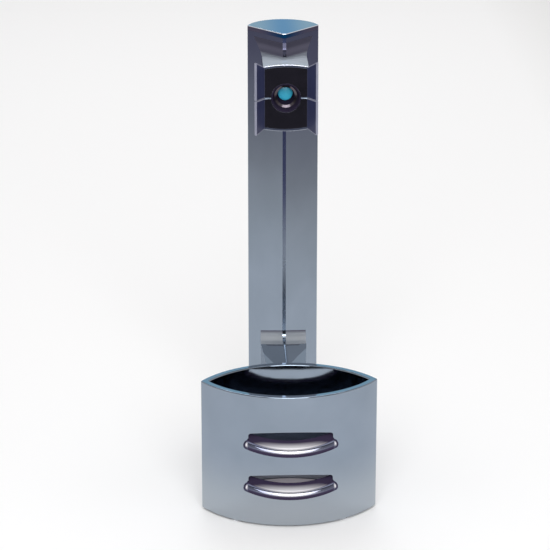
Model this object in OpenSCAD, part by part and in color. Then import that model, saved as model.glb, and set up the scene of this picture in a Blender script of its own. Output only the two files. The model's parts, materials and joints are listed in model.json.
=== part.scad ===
// Counter-top push-button soap dispenser: a tear-shaped column carries a pump head
// and, on a short arm in front of it, a lens-shaped drip cup with two louvre slots.
// Lengths in mm. X is across, front is -Y, Z is up, the counter is Z = 0.

/* [Cup] */
// Width of the cup from point to point
cup_w = 100; // [80:0.5:130]
// Depth of the cup between the crowns of its two arcs
cup_d = 54.6; // [44:0.2:70]
// Height of the cup rim above the counter
cup_top = 78.5; // [66:0.5:100]
// Thickness of the cup wall
cup_wall = 4; // [2.5:0.1:6]
// How far the inner ledge stands in from the wall
ledge_w = 2; // [1.5:0.1:4]
// Height of the inner ledge that carries the floor plate
ledge_h = 3; // [2:0.1:5]
// Thickness of the cup floor plate
floor_t = 2; // [1:0.1:4]
// Thickness of the rubber mat on the floor plate
mat_t = 2; // [1:0.1:4]
// Gap left round the mat
mat_gap = 0.6; // [0.4:0.1:1.5]
// Radius of a cup foot
foot_r = 2.3; // [1.5:0.1:2.8]
// Depth of the pocket that holds a cup foot
foot_sink = 0.8; // [0.4:0.1:1.5]
// Sideways place of the cup feet
foot_x = 30; // [15:0.5:38]

/* [Slots] */
// Width of each louvre slot
slot_w = 47.2; // [30:0.2:60]
// Distance of the top edge of the upper slot below the cup rim
slot_in = 20.9; // [15:0.1:26]
// Distance between the two slots
slot_pitch = 25.7; // [22:0.1:30]
// Rise of the arched top edge at its middle
slot_arch = 2.4; // [0.8:0.1:3]
// Drop from the top edge to the ends of the rolled lip
slot_drop = 7.8; // [6:0.1:11]
// Radius of the rolled lip
bead_r = 2.25; // [1.5:0.05:3]
// Distance between the two end centres of the rolled lip
bead_span = 48.6; // [48:0.2:60]
// How far the lip centre stands in front of the cup at its middle
bead_out = 3; // [2.4:0.1:5]
// How far the lip hangs down at its middle
bead_sag = 3.1; // [1:0.1:4]
// Thickness of the lip tongue inside the slot
lip_t = 2.2; // [1.4:0.1:3]

/* [Column] */
// Height of the whole dispenser
col_h = 260; // [240:1:320]
// Width of the column across its two side edges
col_w = 41.4; // [36:0.2:52]
// Depth of the vee front from the side edges to the ridge
vee_d = 23.4; // [18:0.2:28]
// Depth of the rounded back behind the side edges
back_d = 15.7; // [12:0.1:19]
// Wall of the column
col_wall = 3; // [2:0.1:4]
// Distance from the cup centre to the plane of the side edges
reach = 97.6; // [85:0.2:125]
// Height of the metal above the counter
floor_gap = 1; // [0.6:0.1:2]
// Thickness of the top cap
cap_t = 2.6; // [1.6:0.1:4]
// Depth of the cap skirt inside the column
skirt_h = 3.8; // [2.5:0.1:6]
// Wall of the cap skirt
skirt_t = 1.4; // [1:0.1:2.5]
// Thickness of the cap seal round the skirt
seal_t = 0.8; // [0.5:0.05:1.4]
// Height of the cap seal
seal_h = 1.6; // [1:0.1:2.4]
// Height of the plug that closes the foot of the column
plug_h = 6; // [4:0.2:12]
// Radius of the threaded bore for a counter stud
stud_r = 2.5; // [1.5:0.1:5]
// Radius of the hole for the stud in the foot pad
pad_hole_r = 4; // [3:0.1:7]
// How far the foot pad is set in from the column face
pad_in = 1.5; // [0.8:0.1:2.4]

/* [Tank] */
// Gap between the tank and the column
tank_gap = 0.5; // [0.3:0.1:1.5]
// Wall of the soap tank
tank_wall = 1.6; // [1:0.1:2.5]
// Distance of the tank top below the top of the column
tank_drop = 61; // [60:1:90]
// Distance of the blunt tank front behind the ridge
tank_front = 11.5; // [10:0.1:16]
// Thickness of the tank lid
lid_t = 3; // [2:0.1:5]
// Distance of the filler spout behind the ridge
spout_y = 30.2; // [29.8:0.1:30.2]
// Outer radius of the filler spout
spout_r = 3.4; // [2.8:0.1:3.6]
// Wall of the filler spout and its tray
spout_wall = 1; // [0.8:0.1:1.5]
// Distance of the filler tray floor below the top of the column
tray_drop = 14; // [13:0.5:15]
// Height of the filler tray rim above its floor
tray_rim = 6; // [4:0.1:7]
// Height of the collar on the filler spout
collar_h = 1.5; // [1:0.1:4]
// Reach of the collar beyond the filler spout
collar_w = 0.9; // [0.6:0.1:1]
// How deep the filler spout dips into the tank
spout_dip = 4; // [2:0.5:10]

/* [Arm] */
// Width of the arm
arm_w = 27; // [22:0.5:32]
// Distance of the arm crest below the cup rim
arm_drop = 3.5; // [1:0.1:8]
// Height of the arm from its underside to its crest
arm_h = 27; // [25:0.5:35]
// Fall of the arm roof to each side
roof_a = 22; // [10:1:30]
// Width of the arm roof where it meets the cup
arm_nose = 20; // [16:0.5:22]
// Drop of the side facet where it meets the cup
facet_drop = 9; // [6:0.5:12]
// Radius of the hollow fillet onto the column
arm_fillet = 5.4; // [3:0.2:8]
// Thickness left at the edges of the hollow fillets
edge_t = 0.2; // [0.1:0.05:0.4]

/* [Head] */
// Distance of the pump axis below the top of the column
head_drop = 31.6; // [31:0.1:33]
// Distance of the black face in front of the ridge
head_out = 22; // [22:0.2:26]
// Width of the head block
head_w = 25.6; // [25:0.2:28]
// Height of the head block at its middle
head_h = 38.6; // [38:0.2:41]
// Crown of the head and the black face at top and underside
head_crown = 1.2; // [0.3:0.1:1.4]
// Wall of the head shells
head_wall = 1.8; // [1.4:0.1:2]
// Wall of the head shells against the column
rear_wall = 2.5; // [2:0.1:3]
// Radius of the hollow fillet above the head
head_fillet = 6.6; // [3:0.2:7]
// Joint gap between the upper and lower head shells
seam = 0.12; // [0.06:0.02:0.3]
// Width of the black face
fascia_w = 24; // [22:0.1:24.2]
// Height of the black face at its middle
fascia_h = 36; // [34:0.1:36.6]
// Thickness of the black face plates
fascia_t = 2.2; // [1.5:0.1:2.6]
// Length of a wing from its root to its tip
wing_l = 8.5; // [6:0.1:10]
// Angle of a wing away from straight forward
wing_a = 35; // [20:1:45]
// Thickness of a wing
wing_t = 1.5; // [1:0.1:2]
// Height of a wing at its tip
wing_h = 42.4; // [40:0.2:46]
// How far the wing tips sit above the pump axis
wing_up = 1.1; // [0:0.1:2]
// Thickness of the gasket between head and column
gasket_t = 0.8; // [0.5:0.1:1.2]
// Width of the opening through the column behind the head
win_w = 14.4; // [14:0.1:15]
// Depth of that opening behind the ridge
win_d = 14; // [13.5:0.1:15]
// Front of the bulkhead ahead of the ridge
bulk_y = 6.5; // [6:0.1:7]
// Thickness of the bulkhead that carries the barrel
bulk_t = 2; // [1.5:0.1:2.2]

/* [Button] */
// Radius of the push button
button_r = 4.2; // [3.6:0.05:4.3]
// Length of the push button
button_l = 4.5; // [3.5:0.1:5]
// Depth of the button front behind the black face
button_in = 10.5; // [9.5:0.1:11]
// Press stroke of the button
stroke = 4; // [2:0.1:4.2]
// Mouth radius of the finger dish
dish_r = 7.6; // [6.5:0.1:7.8]
// Outer radius of the bezel at the face
bezel_r = 8.4; // [8.2:0.1:9]
// Outer radius of the bezel neck
bezel_neck = 5.6; // [5:0.1:5.8]
// Length of the bezel neck
neck_l = 4.7; // [3.5:0.1:5]
// Length of the straight guide bore in the bezel
guide_l = 3.5; // [2.5:0.1:3.9]

/* [Pump] */
// Bore radius of the pump barrel
bore_r = 4.8; // [4.5:0.05:5]
// Outer radius of the pump barrel
barrel_r = 6.5; // [6.2:0.05:6.8]
// Radius of the barrel flange
flange_r = 8.5; // [7.8:0.1:9]
// Thickness of the barrel flange
flange_t = 2; // [1.5:0.1:2.4]
// Depth of the barrel bore behind the ridge
barrel_in = 23; // [22:0.1:24]
// Thickness of the closed barrel end
barrel_end = 2; // [1.5:0.1:2.4]
// Length of the rod gland
gland_l = 4; // [3:0.1:4.2]
// Space left between the pressed button and the rod gland
stop_gap = 1.5; // [1:0.1:1.8]
// Length of the piston
piston_l = 5; // [4:0.1:5.4]
// Gap between the gland and the resting piston
piston_gap = 0.3; // [0.2:0.05:0.6]
// Radius of the piston rod
rod_r = 2; // [1.5:0.05:2.4]
// Depth of the rod in the button
rod_in = 2.5; // [2:0.1:3]
// Depth of the rod in the piston
rod_seat = 4; // [3:0.1:4.2]
// Section radius of the piston seal
oring_r = 0.78; // [0.6:0.02:0.9]
// Outer radius of the return spring
spring_r = 3.9; // [3.4:0.1:4.2]
// Wire thickness of the return spring
spring_t = 0.9; // [0.6:0.1:1.2]
// Distance of the suction line behind the ridge
suck_y = 19.5; // [19:0.1:20]
// Outer radius of the suction valve body
valve_r = 4; // [3.6:0.1:4.2]
// Distance of the suction valve top below the pump axis
valve_drop = 12.4; // [11.6:0.1:13.4]
// Length of the suction valve body
valve_l = 11; // [10:0.2:12]
// Radius of the spigot on the suction valve
spigot_r = 2.95; // [2.6:0.05:3.1]
// Length of the spigot on the suction valve
spigot_l = 3.4; // [2.5:0.1:4]
// Radius of the suction ball
ball_r = 2.4; // [2:0.05:2.5]
// Radius of the ball chamber
chamber_r = 2.9; // [2.8:0.05:3.1]
// Lift of the suction ball
ball_lift = 1; // [0.6:0.1:1.6]
// Radius of the passage below the ball
seat_r = 1.5; // [1.2:0.05:1.7]
// Radius of the passages in the pump
port_r = 1.2; // [0.8:0.05:1.3]
// Outer radius of the suction tube
tube_r = 2.5; // [2:0.05:2.6]
// Bore radius of the suction tube
tube_bore = 1.6; // [1.2:0.05:1.8]
// Depth of the suction tube in the valve
tube_in = 2; // [1.5:0.1:2.4]
// Height of the suction tube end above the counter
tube_z = 14; // [12:0.5:30]

/* [Outlet] */
// Distance of the outlet port behind the ridge
out_y = 13.2; // [13.1:0.05:13.4]
// Radius of the outlet boss
out_boss = 2.8; // [2.5:0.1:3]
// Distance of the outlet duct below the pump axis
duct_drop = 9.8; // [9.6:0.05:9.9]
// Outer radius of the outlet duct
duct_r = 2; // [1.8:0.05:2.1]
// Bore radius of the outlet duct
duct_bore = 1.2; // [0.8:0.05:1.3]
// Depth of the duct in its boss
duct_in = 1.4; // [1:0.1:1.6]
// Distance of the nozzle ahead of the ridge
nozzle_y = 13; // [12.8:0.1:13.2]
// Radius of the nozzle
nozzle_r = 3; // [2.7:0.1:3.1]
// Forward lean of the nozzle
nozzle_a = 15; // [8:1:16]
// Rise of the nozzle above the duct
nozzle_up = 1.8; // [1.6:0.1:2.2]
// Length of the nozzle below the duct
nozzle_dn = 8.2; // [8:0.1:8.4]
// Bore radius of the nozzle
nozzle_bore = 1.4; // [1:0.05:1.6]
// Depth of the duct in the nozzle
nozzle_in = 2; // [1.5:0.1:2.2]
// Radius of the rubber outlet valve
bill_r = 2.1; // [1.8:0.05:2.2]
// Length of the rubber outlet valve
bill_l = 4; // [3:0.1:4.5]
// Wall left at the closed end of the outlet valve
bill_end = 0.8; // [0.6:0.1:1.2]
// Width of the slit in the outlet valve
slit = 0.25; // [0.15:0.05:0.5]

/* [Fasteners] */
// Thread radius of the head screws
hs_r = 1.5; // [1.2:0.1:1.6]
// Head radius of the head screws
hs_head = 2.75; // [2.4:0.05:2.8]
// Head height of the head screws
hs_h = 2.4; // [1.6:0.1:3]
// Height of the upper head screw above the pump axis
hs_up = 13.1; // [12:0.1:13.4]
// Distance of the lower head screw below the pump axis
hs_down = 15.4; // [15.2:0.1:15.5]
// Radius of the screw bosses in the head
boss_r = 3; // [2.6:0.1:3.1]
// End of the screw bosses ahead of the ridge
boss_y = 9.5; // [8.8:0.1:10]
// Thread radius of the arm and cup screws
as_r = 2; // [1.5:0.1:2.4]
// Head radius of the arm and cup screws
as_head = 3.5; // [3:0.1:3.6]
// Head height of the arm and cup screws
as_h = 2.8; // [2:0.1:3]
// Distance of the upper arm screw below the arm crest
as_down = 8; // [7.6:0.1:9]
// Height of the lower arm screw above the arm underside
as_up = 7.5; // [6:0.1:8]
// Length of the arm screws in the arm
as_l = 14; // [10:0.5:16]
// Sideways place of the cup screws
cs_x = 7; // [6:0.1:7.6]
// Height of the cup screws above the arm underside
cs_up = 6; // [5:0.1:6.4]
// Length of the cup screws
cs_l = 16; // [12:0.5:18]
// Depth of the screw seats behind the ridge
seat_y = 5.4; // [5.2:0.1:6]
// Hex key radius in the screw heads
hex_r = 1.4; // [1:0.1:1.8]
// Share of the screw head height that the hex key reaches
hex_share = 0.6; // [0.4:0.05:0.7]

/* [Fits] */
// Gap between pieces that sit on each other
seat = 0.03; // [0.01:0.01:0.06]
// Radial gap of the running fits
run = 0.06; // [0.03:0.01:0.09]
// Radial gap of the screw and tube fits
snug = 0.05; // [0.02:0.01:0.09]
// Free gap round the screw heads
free = 0.35; // [0.3:0.05:0.5]

/* [Hidden] */
$fn = 64;

cut = 1;
far = 200;

function arc_r(half, rise) = (half * half + rise * rise) / (2 * rise);
function unit(v) = v / norm(v);

cup_hw = cup_w / 2;
cup_s = cup_d / 2;
cup_r = arc_r(cup_hw, cup_s);
cup_off = cup_r - cup_s;
bead_half = bead_span / 2;
bead_lean = asin(bead_half / cup_r);
bead_back = cup_r * cos(bead_lean) - cup_off + (bead_r + seat) / cos(bead_lean);
bead_fwd = cup_s + bead_out - bead_back;
bead_tilt = atan(bead_sag / bead_fwd);
bead_rise = sqrt(bead_fwd * bead_fwd + bead_sag * bead_sag);
bead_big = arc_r(bead_half, bead_rise);
bead_turn = asin(bead_half / bead_big);
arch_r = arc_r(slot_w / 2, slot_arch);
lip_out = bead_out + bead_r;
all_d = lip_out + cup_s + reach + back_d;
cy = lip_out + cup_s - all_d / 2;
ky = cy + reach;
ry = ky - vee_d;
half_w = col_w / 2;
vee_a = atan(half_w / vee_d);
back_r = arc_r(half_w, back_d);
back_c = ky + back_d - back_r;
col_top = col_h - cap_t;
slot_top = cup_top - slot_in;
arm_top = cup_top - arm_drop;
arm_base = arm_top - arm_h;
as_z1 = arm_top - as_down;
as_z0 = arm_base + as_up;
cs_z = arm_base + cs_up;
head_z = col_h - head_drop;
hs_z1 = head_z + hs_up;
hs_z0 = head_z - hs_down;
valve_z = head_z - valve_drop;
duct_z = head_z - duct_drop;
tank_top = col_h - tank_drop;
tray_z = col_h - tray_drop;
ledge_top = floor_gap + ledge_h;
mat_z = ledge_top + floor_t;
tank_z = floor_gap + plug_h;
lid_z = tank_top + seat;
lid_top = lid_z + lid_t;
spout_z = tank_top - spout_dip;
face_y = ry - head_out;
head_lo = head_z - head_h / 2;
head_hi = head_z + head_h / 2;
win_z0 = duct_z - duct_r - free;
win_z1 = head_z + barrel_r + free;
button_y = face_y + button_in;
flange_y = ry - bulk_y - flange_t;
gland_f = button_y + button_l + stroke + stop_gap;
piston_y = gland_f + gland_l + piston_gap;
piston_r = bore_r - run;
oring_big = piston_r - oring_r + run / 2;
groove_w = 2 * oring_r + free;
groove_y = piston_y + piston_l / 2;
bore_end = ry + barrel_in;
cone_h = chamber_r - seat_r;
valve_lo = valve_z - valve_l;
tube_top = valve_lo + tube_in;
seat_z = tube_top + cut;
ball_z = seat_z - seat_r + ball_r * sqrt(2) + seat;
ball_top = ball_z + ball_r + ball_lift;
cs_seat = cy + cup_s - cup_wall;

module xbox(w, y0, y1, z0, z1) {
    translate([-w / 2, y0, z0])
        cube([w, y1 - y0, z1 - z0]);
}

module ybar(x, y0, y1, z, r) {
    translate([x, y0, z])
        rotate([-90, 0, 0])
            cylinder(r = r, h = y1 - y0);
}

module ycone(y0, y1, z, r0, r1) {
    translate([0, y0, z])
        rotate([-90, 0, 0])
            cylinder(r1 = r0, r2 = r1, h = y1 - y0);
}

module zbar(x, y, z0, z1, r) {
    translate([x, y, z0])
        cylinder(r = r, h = z1 - z0);
}

// Cup plan: two arcs that meet in points at the sides
module front_arc(inset, z0, z1) {
    zbar(0, cy + cup_off, z0, z1, cup_r - inset, $fn = 128);
}

module back_arc(inset, z0, z1) {
    zbar(0, cy - cup_off, z0, z1, cup_r - inset, $fn = 128);
}

module lens(inset, z0, z1) {
    intersection() {
        front_arc(inset, z0, z1);
        back_arc(inset, z0, z1);
    }
}

// Column plan: a vee in front and a round back
module wedge(inset, z0, z1) {
    translate([0, ry + inset / sin(vee_a), z0])
        linear_extrude(z1 - z0)
            polygon([[0, 0], [far * tan(vee_a), far], [-far * tan(vee_a), far]]);
}

module tear(inset, z0, z1) {
    intersection() {
        wedge(inset, z0, z1);
        zbar(0, back_c, z0, z1, back_r - inset, $fn = 96);
    }
}

module behind(y, z0, z1) {
    xbox(far, y, y + far, z0, z1);
}

// Everything above a plane through a point
module above(p, n) {
    ex = unit(cross([0, 1, 0], n));
    ey = cross(n, ex);
    multmatrix([[ex.x, ey.x, n.x, p.x], [ex.y, ey.y, n.y, p.y], [ex.z, ey.z, n.z, p.z], [0, 0, 0, 1]])
        translate([-far / 2, -far / 2, 0])
            cube([far, far, far / 4]);
}

// Hollow fillet along both vee faces over a roof that falls to the sides
module vee_fillet(wide, z, r, fall) {
    e1 = unit([1, 1 / tan(vee_a), -tan(fall)]);
    nr = [sin(fall), 0, cos(fall)];
    nf = [cos(vee_a), -sin(vee_a), 0];
    b = cross(e1, nr);
    up = cross(nf, e1);
    open_a = acos(b * up);
    t = (r + edge_t) / tan(open_a / 2);
    tip = [t * cos(open_a), t * sin(open_a)];
    for (s = [0, 1])
        mirror([s, 0, 0])
            intersection() {
                multmatrix([[b.x, e1.x, nr.x, 0], [b.y, e1.y, nr.y, ry], [b.z, e1.z, nr.z, z], [0, 0, 0, 1]])
                    rotate([90, 0, 0])
                        translate([0, 0, -2 * wide])
                            linear_extrude(4 * wide)
                                difference() {
                                    polygon([[t, -cut], [t, r], tip + r * [sin(open_a), -cos(open_a)],
                                        tip + [-sin(open_a), cos(open_a)], [-cut, -cut]]);
                                    translate([t, r + edge_t])
                                        circle(r = r);
                                }
                translate([0, ry - far / 2, z - far / 2])
                    cube([wide / 2, far, far]);
            }
}

// Cap screw along Y: the head is at y and the thread runs to y + l (l may be negative)
module cap_screw(x, y, z, l, r, hr, hh) {
    way = sign(l);
    difference() {
        union() {
            ybar(x, min(y, y + l), max(y, y + l), z, r);
            ybar(x, min(y, y - way * hh), max(y, y - way * hh), z, hr);
        }
        translate([x, y - way * hh * (1 - hex_share), z])
            rotate([way * 90, 0, 0])
                cylinder(r = hex_r, h = hh, $fn = 6);
    }
}

module head_window(y0) {
    xbox(win_w, y0, ry + win_d, win_z0, win_z1);
}

module column_shell() {
    color([0.72, 0.74, 0.78])
    difference() {
        tear(0, floor_gap, col_top);
        tear(col_wall, floor_gap - cut, col_top + cut);
        head_window(ry - cut);
        for (z = [hs_z0, hs_z1]) {
            ybar(0, ry - cut, ry + seat_y, z, hs_r + snug);
            ybar(0, ry + seat_y, ry + win_d, z, hs_head + free);
        }
        for (z = [as_z0, as_z1]) {
            ybar(0, ry - cut, ry + seat_y, z, as_r + snug);
            ybar(0, ry + seat_y, ry + win_d, z, as_head + free);
        }
    }
}

module top_cap() {
    color([0.72, 0.74, 0.78])
    union() {
        tear(0, col_top + seat, col_h);
        difference() {
            tear(col_wall + seal_t + snug, col_top - skirt_h, col_top + cut);
            tear(col_wall + seal_t + snug + skirt_t, col_top - skirt_h - cut, col_top + cut / 2);
        }
    }
}

module cap_seal() {
    color([0.1, 0.1, 0.1])
    difference() {
        tear(col_wall + snug, col_top - skirt_h, col_top - skirt_h + seal_h);
        tear(col_wall + seal_t, col_top - skirt_h - cut, col_top);
    }
}

module base_plug() {
    color([0.3, 0.3, 0.32])
    difference() {
        tear(col_wall + snug, floor_gap, floor_gap + plug_h);
        zbar(0, ky, floor_gap - cut, floor_gap + plug_h + cut, stud_r);
    }
}

module foot_pad() {
    color([0.08, 0.08, 0.08])
    difference() {
        tear(pad_in, 0, floor_gap - seat);
        zbar(0, ky, -cut, floor_gap + cut, pad_hole_r);
    }
}

module soap_tank() {
    in = col_wall + tank_gap;
    color([0.85, 0.88, 0.9])
    difference() {
        intersection() {
            tear(in, tank_z + seat, tank_top);
            behind(ry + tank_front, 0, col_h);
        }
        intersection() {
            tear(in + tank_wall, tank_z + tank_wall, tank_top + cut);
            behind(ry + tank_front + tank_wall, 0, col_h);
        }
    }
}

module tank_lid() {
    color([0.8, 0.82, 0.84])
    difference() {
        intersection() {
            tear(col_wall + tank_gap, lid_z, lid_top);
            behind(ry + tank_front, 0, col_h);
        }
        zbar(0, ry + suck_y, lid_z - cut, lid_top + cut, tube_r + snug);
        zbar(0, ry + spout_y, lid_z - cut, lid_top + cut, spout_r + snug);
    }
}

module filler_tray() {
    in = col_wall + tank_gap;
    color([0.8, 0.82, 0.84])
    difference() {
        union() {
            tear(in, tray_z, tray_z + tray_rim);
            zbar(0, ry + spout_y, spout_z, tray_z + spout_wall / 2, spout_r);
            zbar(0, ry + spout_y, lid_top + seat, lid_top + seat + collar_h, spout_r + collar_w);
        }
        tear(in + spout_wall, tray_z + spout_wall, tray_z + tray_rim + cut);
        zbar(0, ry + spout_y, spout_z - cut, tray_z + tray_rim, spout_r - spout_wall);
    }
}

module arm() {
    nose = cy + cup_s;
    edge_z = arm_top - arm_w / 2 * tan(roof_a);
    nose_z = arm_top - arm_nose / 2 * tan(roof_a);
    pa = [arm_w / 2, ry, edge_z];
    pb = [arm_nose / 2, nose, nose_z];
    pc = [arm_w / 2, nose, nose_z - facet_drop];
    color([0.72, 0.74, 0.78])
    difference() {
        union() {
            difference() {
                xbox(arm_w, nose - cut - cup_wall, ry + arm_w, arm_base, arm_top + cut);
                for (s = [-1, 1])
                    above([0, ry, arm_top], [s * sin(roof_a), 0, cos(roof_a)]);
                for (s = [0, 1])
                    mirror([s, 0, 0])
                        above(pa, unit(cross(pb - pa, pc - pa)));
            }
            vee_fillet(arm_w, arm_top, arm_fillet, roof_a);
        }
        back_arc(-seat, arm_base - cut, col_h);
        wedge(-seat, arm_base - cut, col_h);
        for (x = [-cs_x, cs_x])
            ybar(x, nose - cup_wall, cs_seat + cs_l + cut, cs_z, as_r + snug);
        for (z = [as_z0, as_z1])
            ybar(0, ry - as_l - cut, ry + arm_w / 2, z, as_r + snug);
    }
}

module arm_screws() {
    color([0.6, 0.6, 0.62])
    for (z = [as_z0, as_z1])
        cap_screw(0, ry + seat_y + seat, z, -(as_l + seat_y), as_r, as_head, as_h);
}

module slot_arch_box(z, w) {
    intersection() {
        xbox(w, cy - far / 2, cy, z - far / 2, z + cut);
        translate([0, cy - far / 2, z - arch_r])
            rotate([-90, 0, 0])
                cylinder(r = arch_r, h = far, $fn = 128);
    }
}

module tilt_at(z) {
    translate([0, cy - bead_back, z - slot_drop])
        rotate([bead_tilt, 0, 0])
            children();
}

module slot_cut(z) {
    intersection() {
        slot_arch_box(z, slot_w);
        tilt_at(z)
            translate([-far / 2, -far / 2, -lip_t / 2 - seat])
                cube([far, far, far]);
    }
}

module slot_lip(z) {
    deep = bead_big - bead_rise;
    difference() {
        tilt_at(z) {
            intersection() {
                translate([0, deep, -lip_t / 2])
                    cylinder(r = bead_big, h = lip_t, $fn = 128);
                xbox(slot_w - 2 * snug, -cup_s, cup_wall + cut, -lip_t, lip_t);
            }
        }
        front_arc(cup_wall, z - far / 2, z + far / 2);
    }
    tilt_at(z)
        translate([0, deep, 0]) {
            rotate([0, 0, -90 - bead_turn])
                rotate_extrude(angle = 2 * bead_turn, $fn = 128)
                    translate([bead_big, 0])
                        circle(r = bead_r);
            for (s = [-1, 1])
                rotate([0, 0, -90 + s * bead_turn])
                    translate([bead_big, 0, 0])
                        sphere(r = bead_r);
        }
}

module cup_shell() {
    color([0.72, 0.74, 0.78])
    difference() {
        lens(0, floor_gap, cup_top);
        lens(cup_wall, ledge_top, cup_top + cut);
        lens(cup_wall + ledge_w, floor_gap - cut, cup_top);
        intersection() {
            union() {
                slot_cut(slot_top);
                slot_cut(slot_top - slot_pitch);
            }
            front_arc(-cut, 0, cup_top);
        }
        for (x = [-cs_x, cs_x]) {
            ybar(x, cy, cs_seat, cs_z, as_head + free);
            ybar(x, cy, cy + cup_s + cut, cs_z, as_r + snug);
        }
        foot_spots(foot_r + snug, floor_gap - cut, floor_gap + foot_sink);
    }
}

module upper_lip() {
    color([0.78, 0.8, 0.83])
    slot_lip(slot_top);
}

module lower_lip() {
    color([0.78, 0.8, 0.83])
    slot_lip(slot_top - slot_pitch);
}

module cup_floor() {
    color([0.3, 0.3, 0.32])
    lens(cup_wall + snug, ledge_top + seat, mat_z);
}

module cup_mat() {
    color([0.06, 0.06, 0.06])
    lens(cup_wall + mat_gap, mat_z + seat, mat_z + mat_t);
}

module cup_screws() {
    color([0.6, 0.6, 0.62])
    for (x = [-cs_x, cs_x])
        cap_screw(x, cs_seat - seat, cs_z, cs_l, as_r, as_head, as_h);
}

module foot_spots(r, z0, z1) {
    ring = cup_r - (cup_wall + ledge_w) / 2;
    y = sqrt(ring * ring - foot_x * foot_x) - cup_off;
    for (sx = [-1, 1])
        for (sy = [-1, 1])
            zbar(sx * foot_x, cy + sy * y, z0, z1, r);
}

module cup_feet() {
    color([0.08, 0.08, 0.08])
    foot_spots(foot_r, 0, floor_gap + foot_sink - seat);
}

// Block with an arched top and underside, centred on the pump axis
module crowned(w, h, y0, y1) {
    r = arc_r(w / 2, head_crown);
    intersection() {
        xbox(w, y0, y1, head_z - h / 2, head_z + h / 2);
        ybar(0, y0 - cut, y1 + cut, head_z + h / 2 - r, r, $fn = 128);
        ybar(0, y0 - cut, y1 + cut, head_z - h / 2 + r, r, $fn = 128);
    }
}

module wings() {
    root = fascia_h / 2;
    tip = wing_h / 2;
    for (s = [0, 1])
        mirror([s, 0, 0])
            translate([fascia_w / 2, face_y, head_z])
                rotate([0, 0, -90 + wing_a])
                    rotate([90, 0, 0])
                        translate([0, 0, -wing_t])
                            linear_extrude(wing_t)
                                polygon([[-wing_t, -root], [0, -root], [wing_l, wing_up - tip],
                                    [wing_l, wing_up + tip], [0, root], [-wing_t, root]]);
}

module head_hollow() {
    in_w = head_w - 2 * head_wall;
    difference() {
        xbox(in_w, face_y, ry + head_w, head_lo + head_wall + head_crown, head_hi - head_wall - head_crown);
        wedge(-gasket_t - rear_wall, head_lo - cut, head_hi + cut);
        xbox(head_w, ry - bulk_y, ry - bulk_y + bulk_t, head_lo, head_hi);
        for (z = [hs_z0, hs_z1])
            ybar(0, ry - boss_y, ry + cut, z, boss_r);
    }
}

module head_shell() {
    rw = fascia_w + 2 * snug;
    rh = fascia_h + 2 * snug;
    difference() {
        union() {
            crowned(head_w, head_h, face_y, ry + head_w);
            wings();
        }
        head_hollow();
        crowned(rw, rh, face_y - far / 4, face_y + fascia_t + seat);
        wedge(-gasket_t, head_lo - cut, head_hi + cut);
        head_window(ry - bulk_y + bulk_t - cut / 2);
        ybar(0, ry - bulk_y - cut, ry - bulk_y + bulk_t + cut, head_z, barrel_r + snug);
        ybar(0, ry - bulk_y - cut, ry - bulk_y + bulk_t + cut, duct_z, duct_r + snug);
        for (z = [hs_z0, hs_z1])
            ybar(0, ry - boss_y - cut, ry + head_w / 2, z, hs_r + snug);
        nozzle_at()
            translate([0, 0, -far / 10])
                cylinder(r = nozzle_r + snug, h = far / 10);
    }
}

module head_upper() {
    color([0.72, 0.74, 0.78])
    union() {
        intersection() {
            head_shell();
            xbox(far, face_y - far / 4, ky, head_z + seam / 2, col_h);
        }
        difference() {
            vee_fillet(head_w, head_hi - head_crown, head_fillet, 0);
            wedge(-seat, head_z, col_h);
        }
    }
}

module head_lower() {
    color([0.72, 0.74, 0.78])
    intersection() {
        head_shell();
        xbox(far, face_y - far / 4, ky, tank_top, head_z - seam / 2);
    }
}

module head_gasket() {
    color([0.1, 0.1, 0.1])
    difference() {
        intersection() {
            wedge(seat - gasket_t, head_lo + head_crown, head_hi - head_crown - cut - seat);
            xbox(head_w - head_wall, face_y, ry + head_w, head_lo, head_hi);
        }
        wedge(-seat, head_lo - cut, head_hi + cut);
        head_window(ry - head_out);
        for (z = [hs_z0, hs_z1])
            ybar(0, ry - boss_y, ry + head_w / 2, z, hs_r + snug);
    }
}

module head_screws() {
    color([0.6, 0.6, 0.62])
    for (z = [hs_z0, hs_z1])
        cap_screw(0, ry + seat_y + seat, z, -(seat_y + boss_y - cut), hs_r, hs_head, hs_h);
}

module fascia(z0, z1) {
    difference() {
        intersection() {
            crowned(fascia_w, fascia_h, face_y, face_y + fascia_t);
            xbox(fascia_w, face_y, face_y + fascia_t, z0, z1);
        }
        ybar(0, face_y - cut, face_y + fascia_t + cut, head_z, bezel_r + snug);
    }
}

module fascia_upper() {
    color([0.03, 0.03, 0.04])
    fascia(head_z + seam / 2, head_z + fascia_h / 2);
}

module fascia_lower() {
    color([0.03, 0.03, 0.04])
    fascia(head_z - fascia_h / 2, head_z - seam / 2);
}

module button_bezel() {
    back_y = flange_y - seat;
    neck_y = back_y - neck_l;
    guide_y = back_y - guide_l;
    color([0.05, 0.05, 0.06])
    difference() {
        union() {
            ybar(0, neck_y, back_y, head_z, bezel_neck);
            ycone(face_y + fascia_t, neck_y, head_z, bezel_r, bezel_neck);
            ybar(0, face_y, face_y + fascia_t, head_z, bezel_r);
        }
        ybar(0, guide_y - cut, back_y + cut, head_z, button_r + run);
        ycone(face_y - seat, guide_y, head_z, dish_r, button_r + run);
    }
}

module push_button() {
    color([0.1, 0.6, 0.8])
    difference() {
        ybar(0, button_y, button_y + button_l, head_z, button_r);
        ybar(0, button_y + button_l - rod_in, button_y + button_l + cut, head_z, rod_r + seat);
    }
}

module piston_rod() {
    color([0.6, 0.6, 0.62])
    ybar(0, button_y + button_l - rod_in + seat, piston_y + rod_seat - seat, head_z, rod_r);
}

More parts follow.
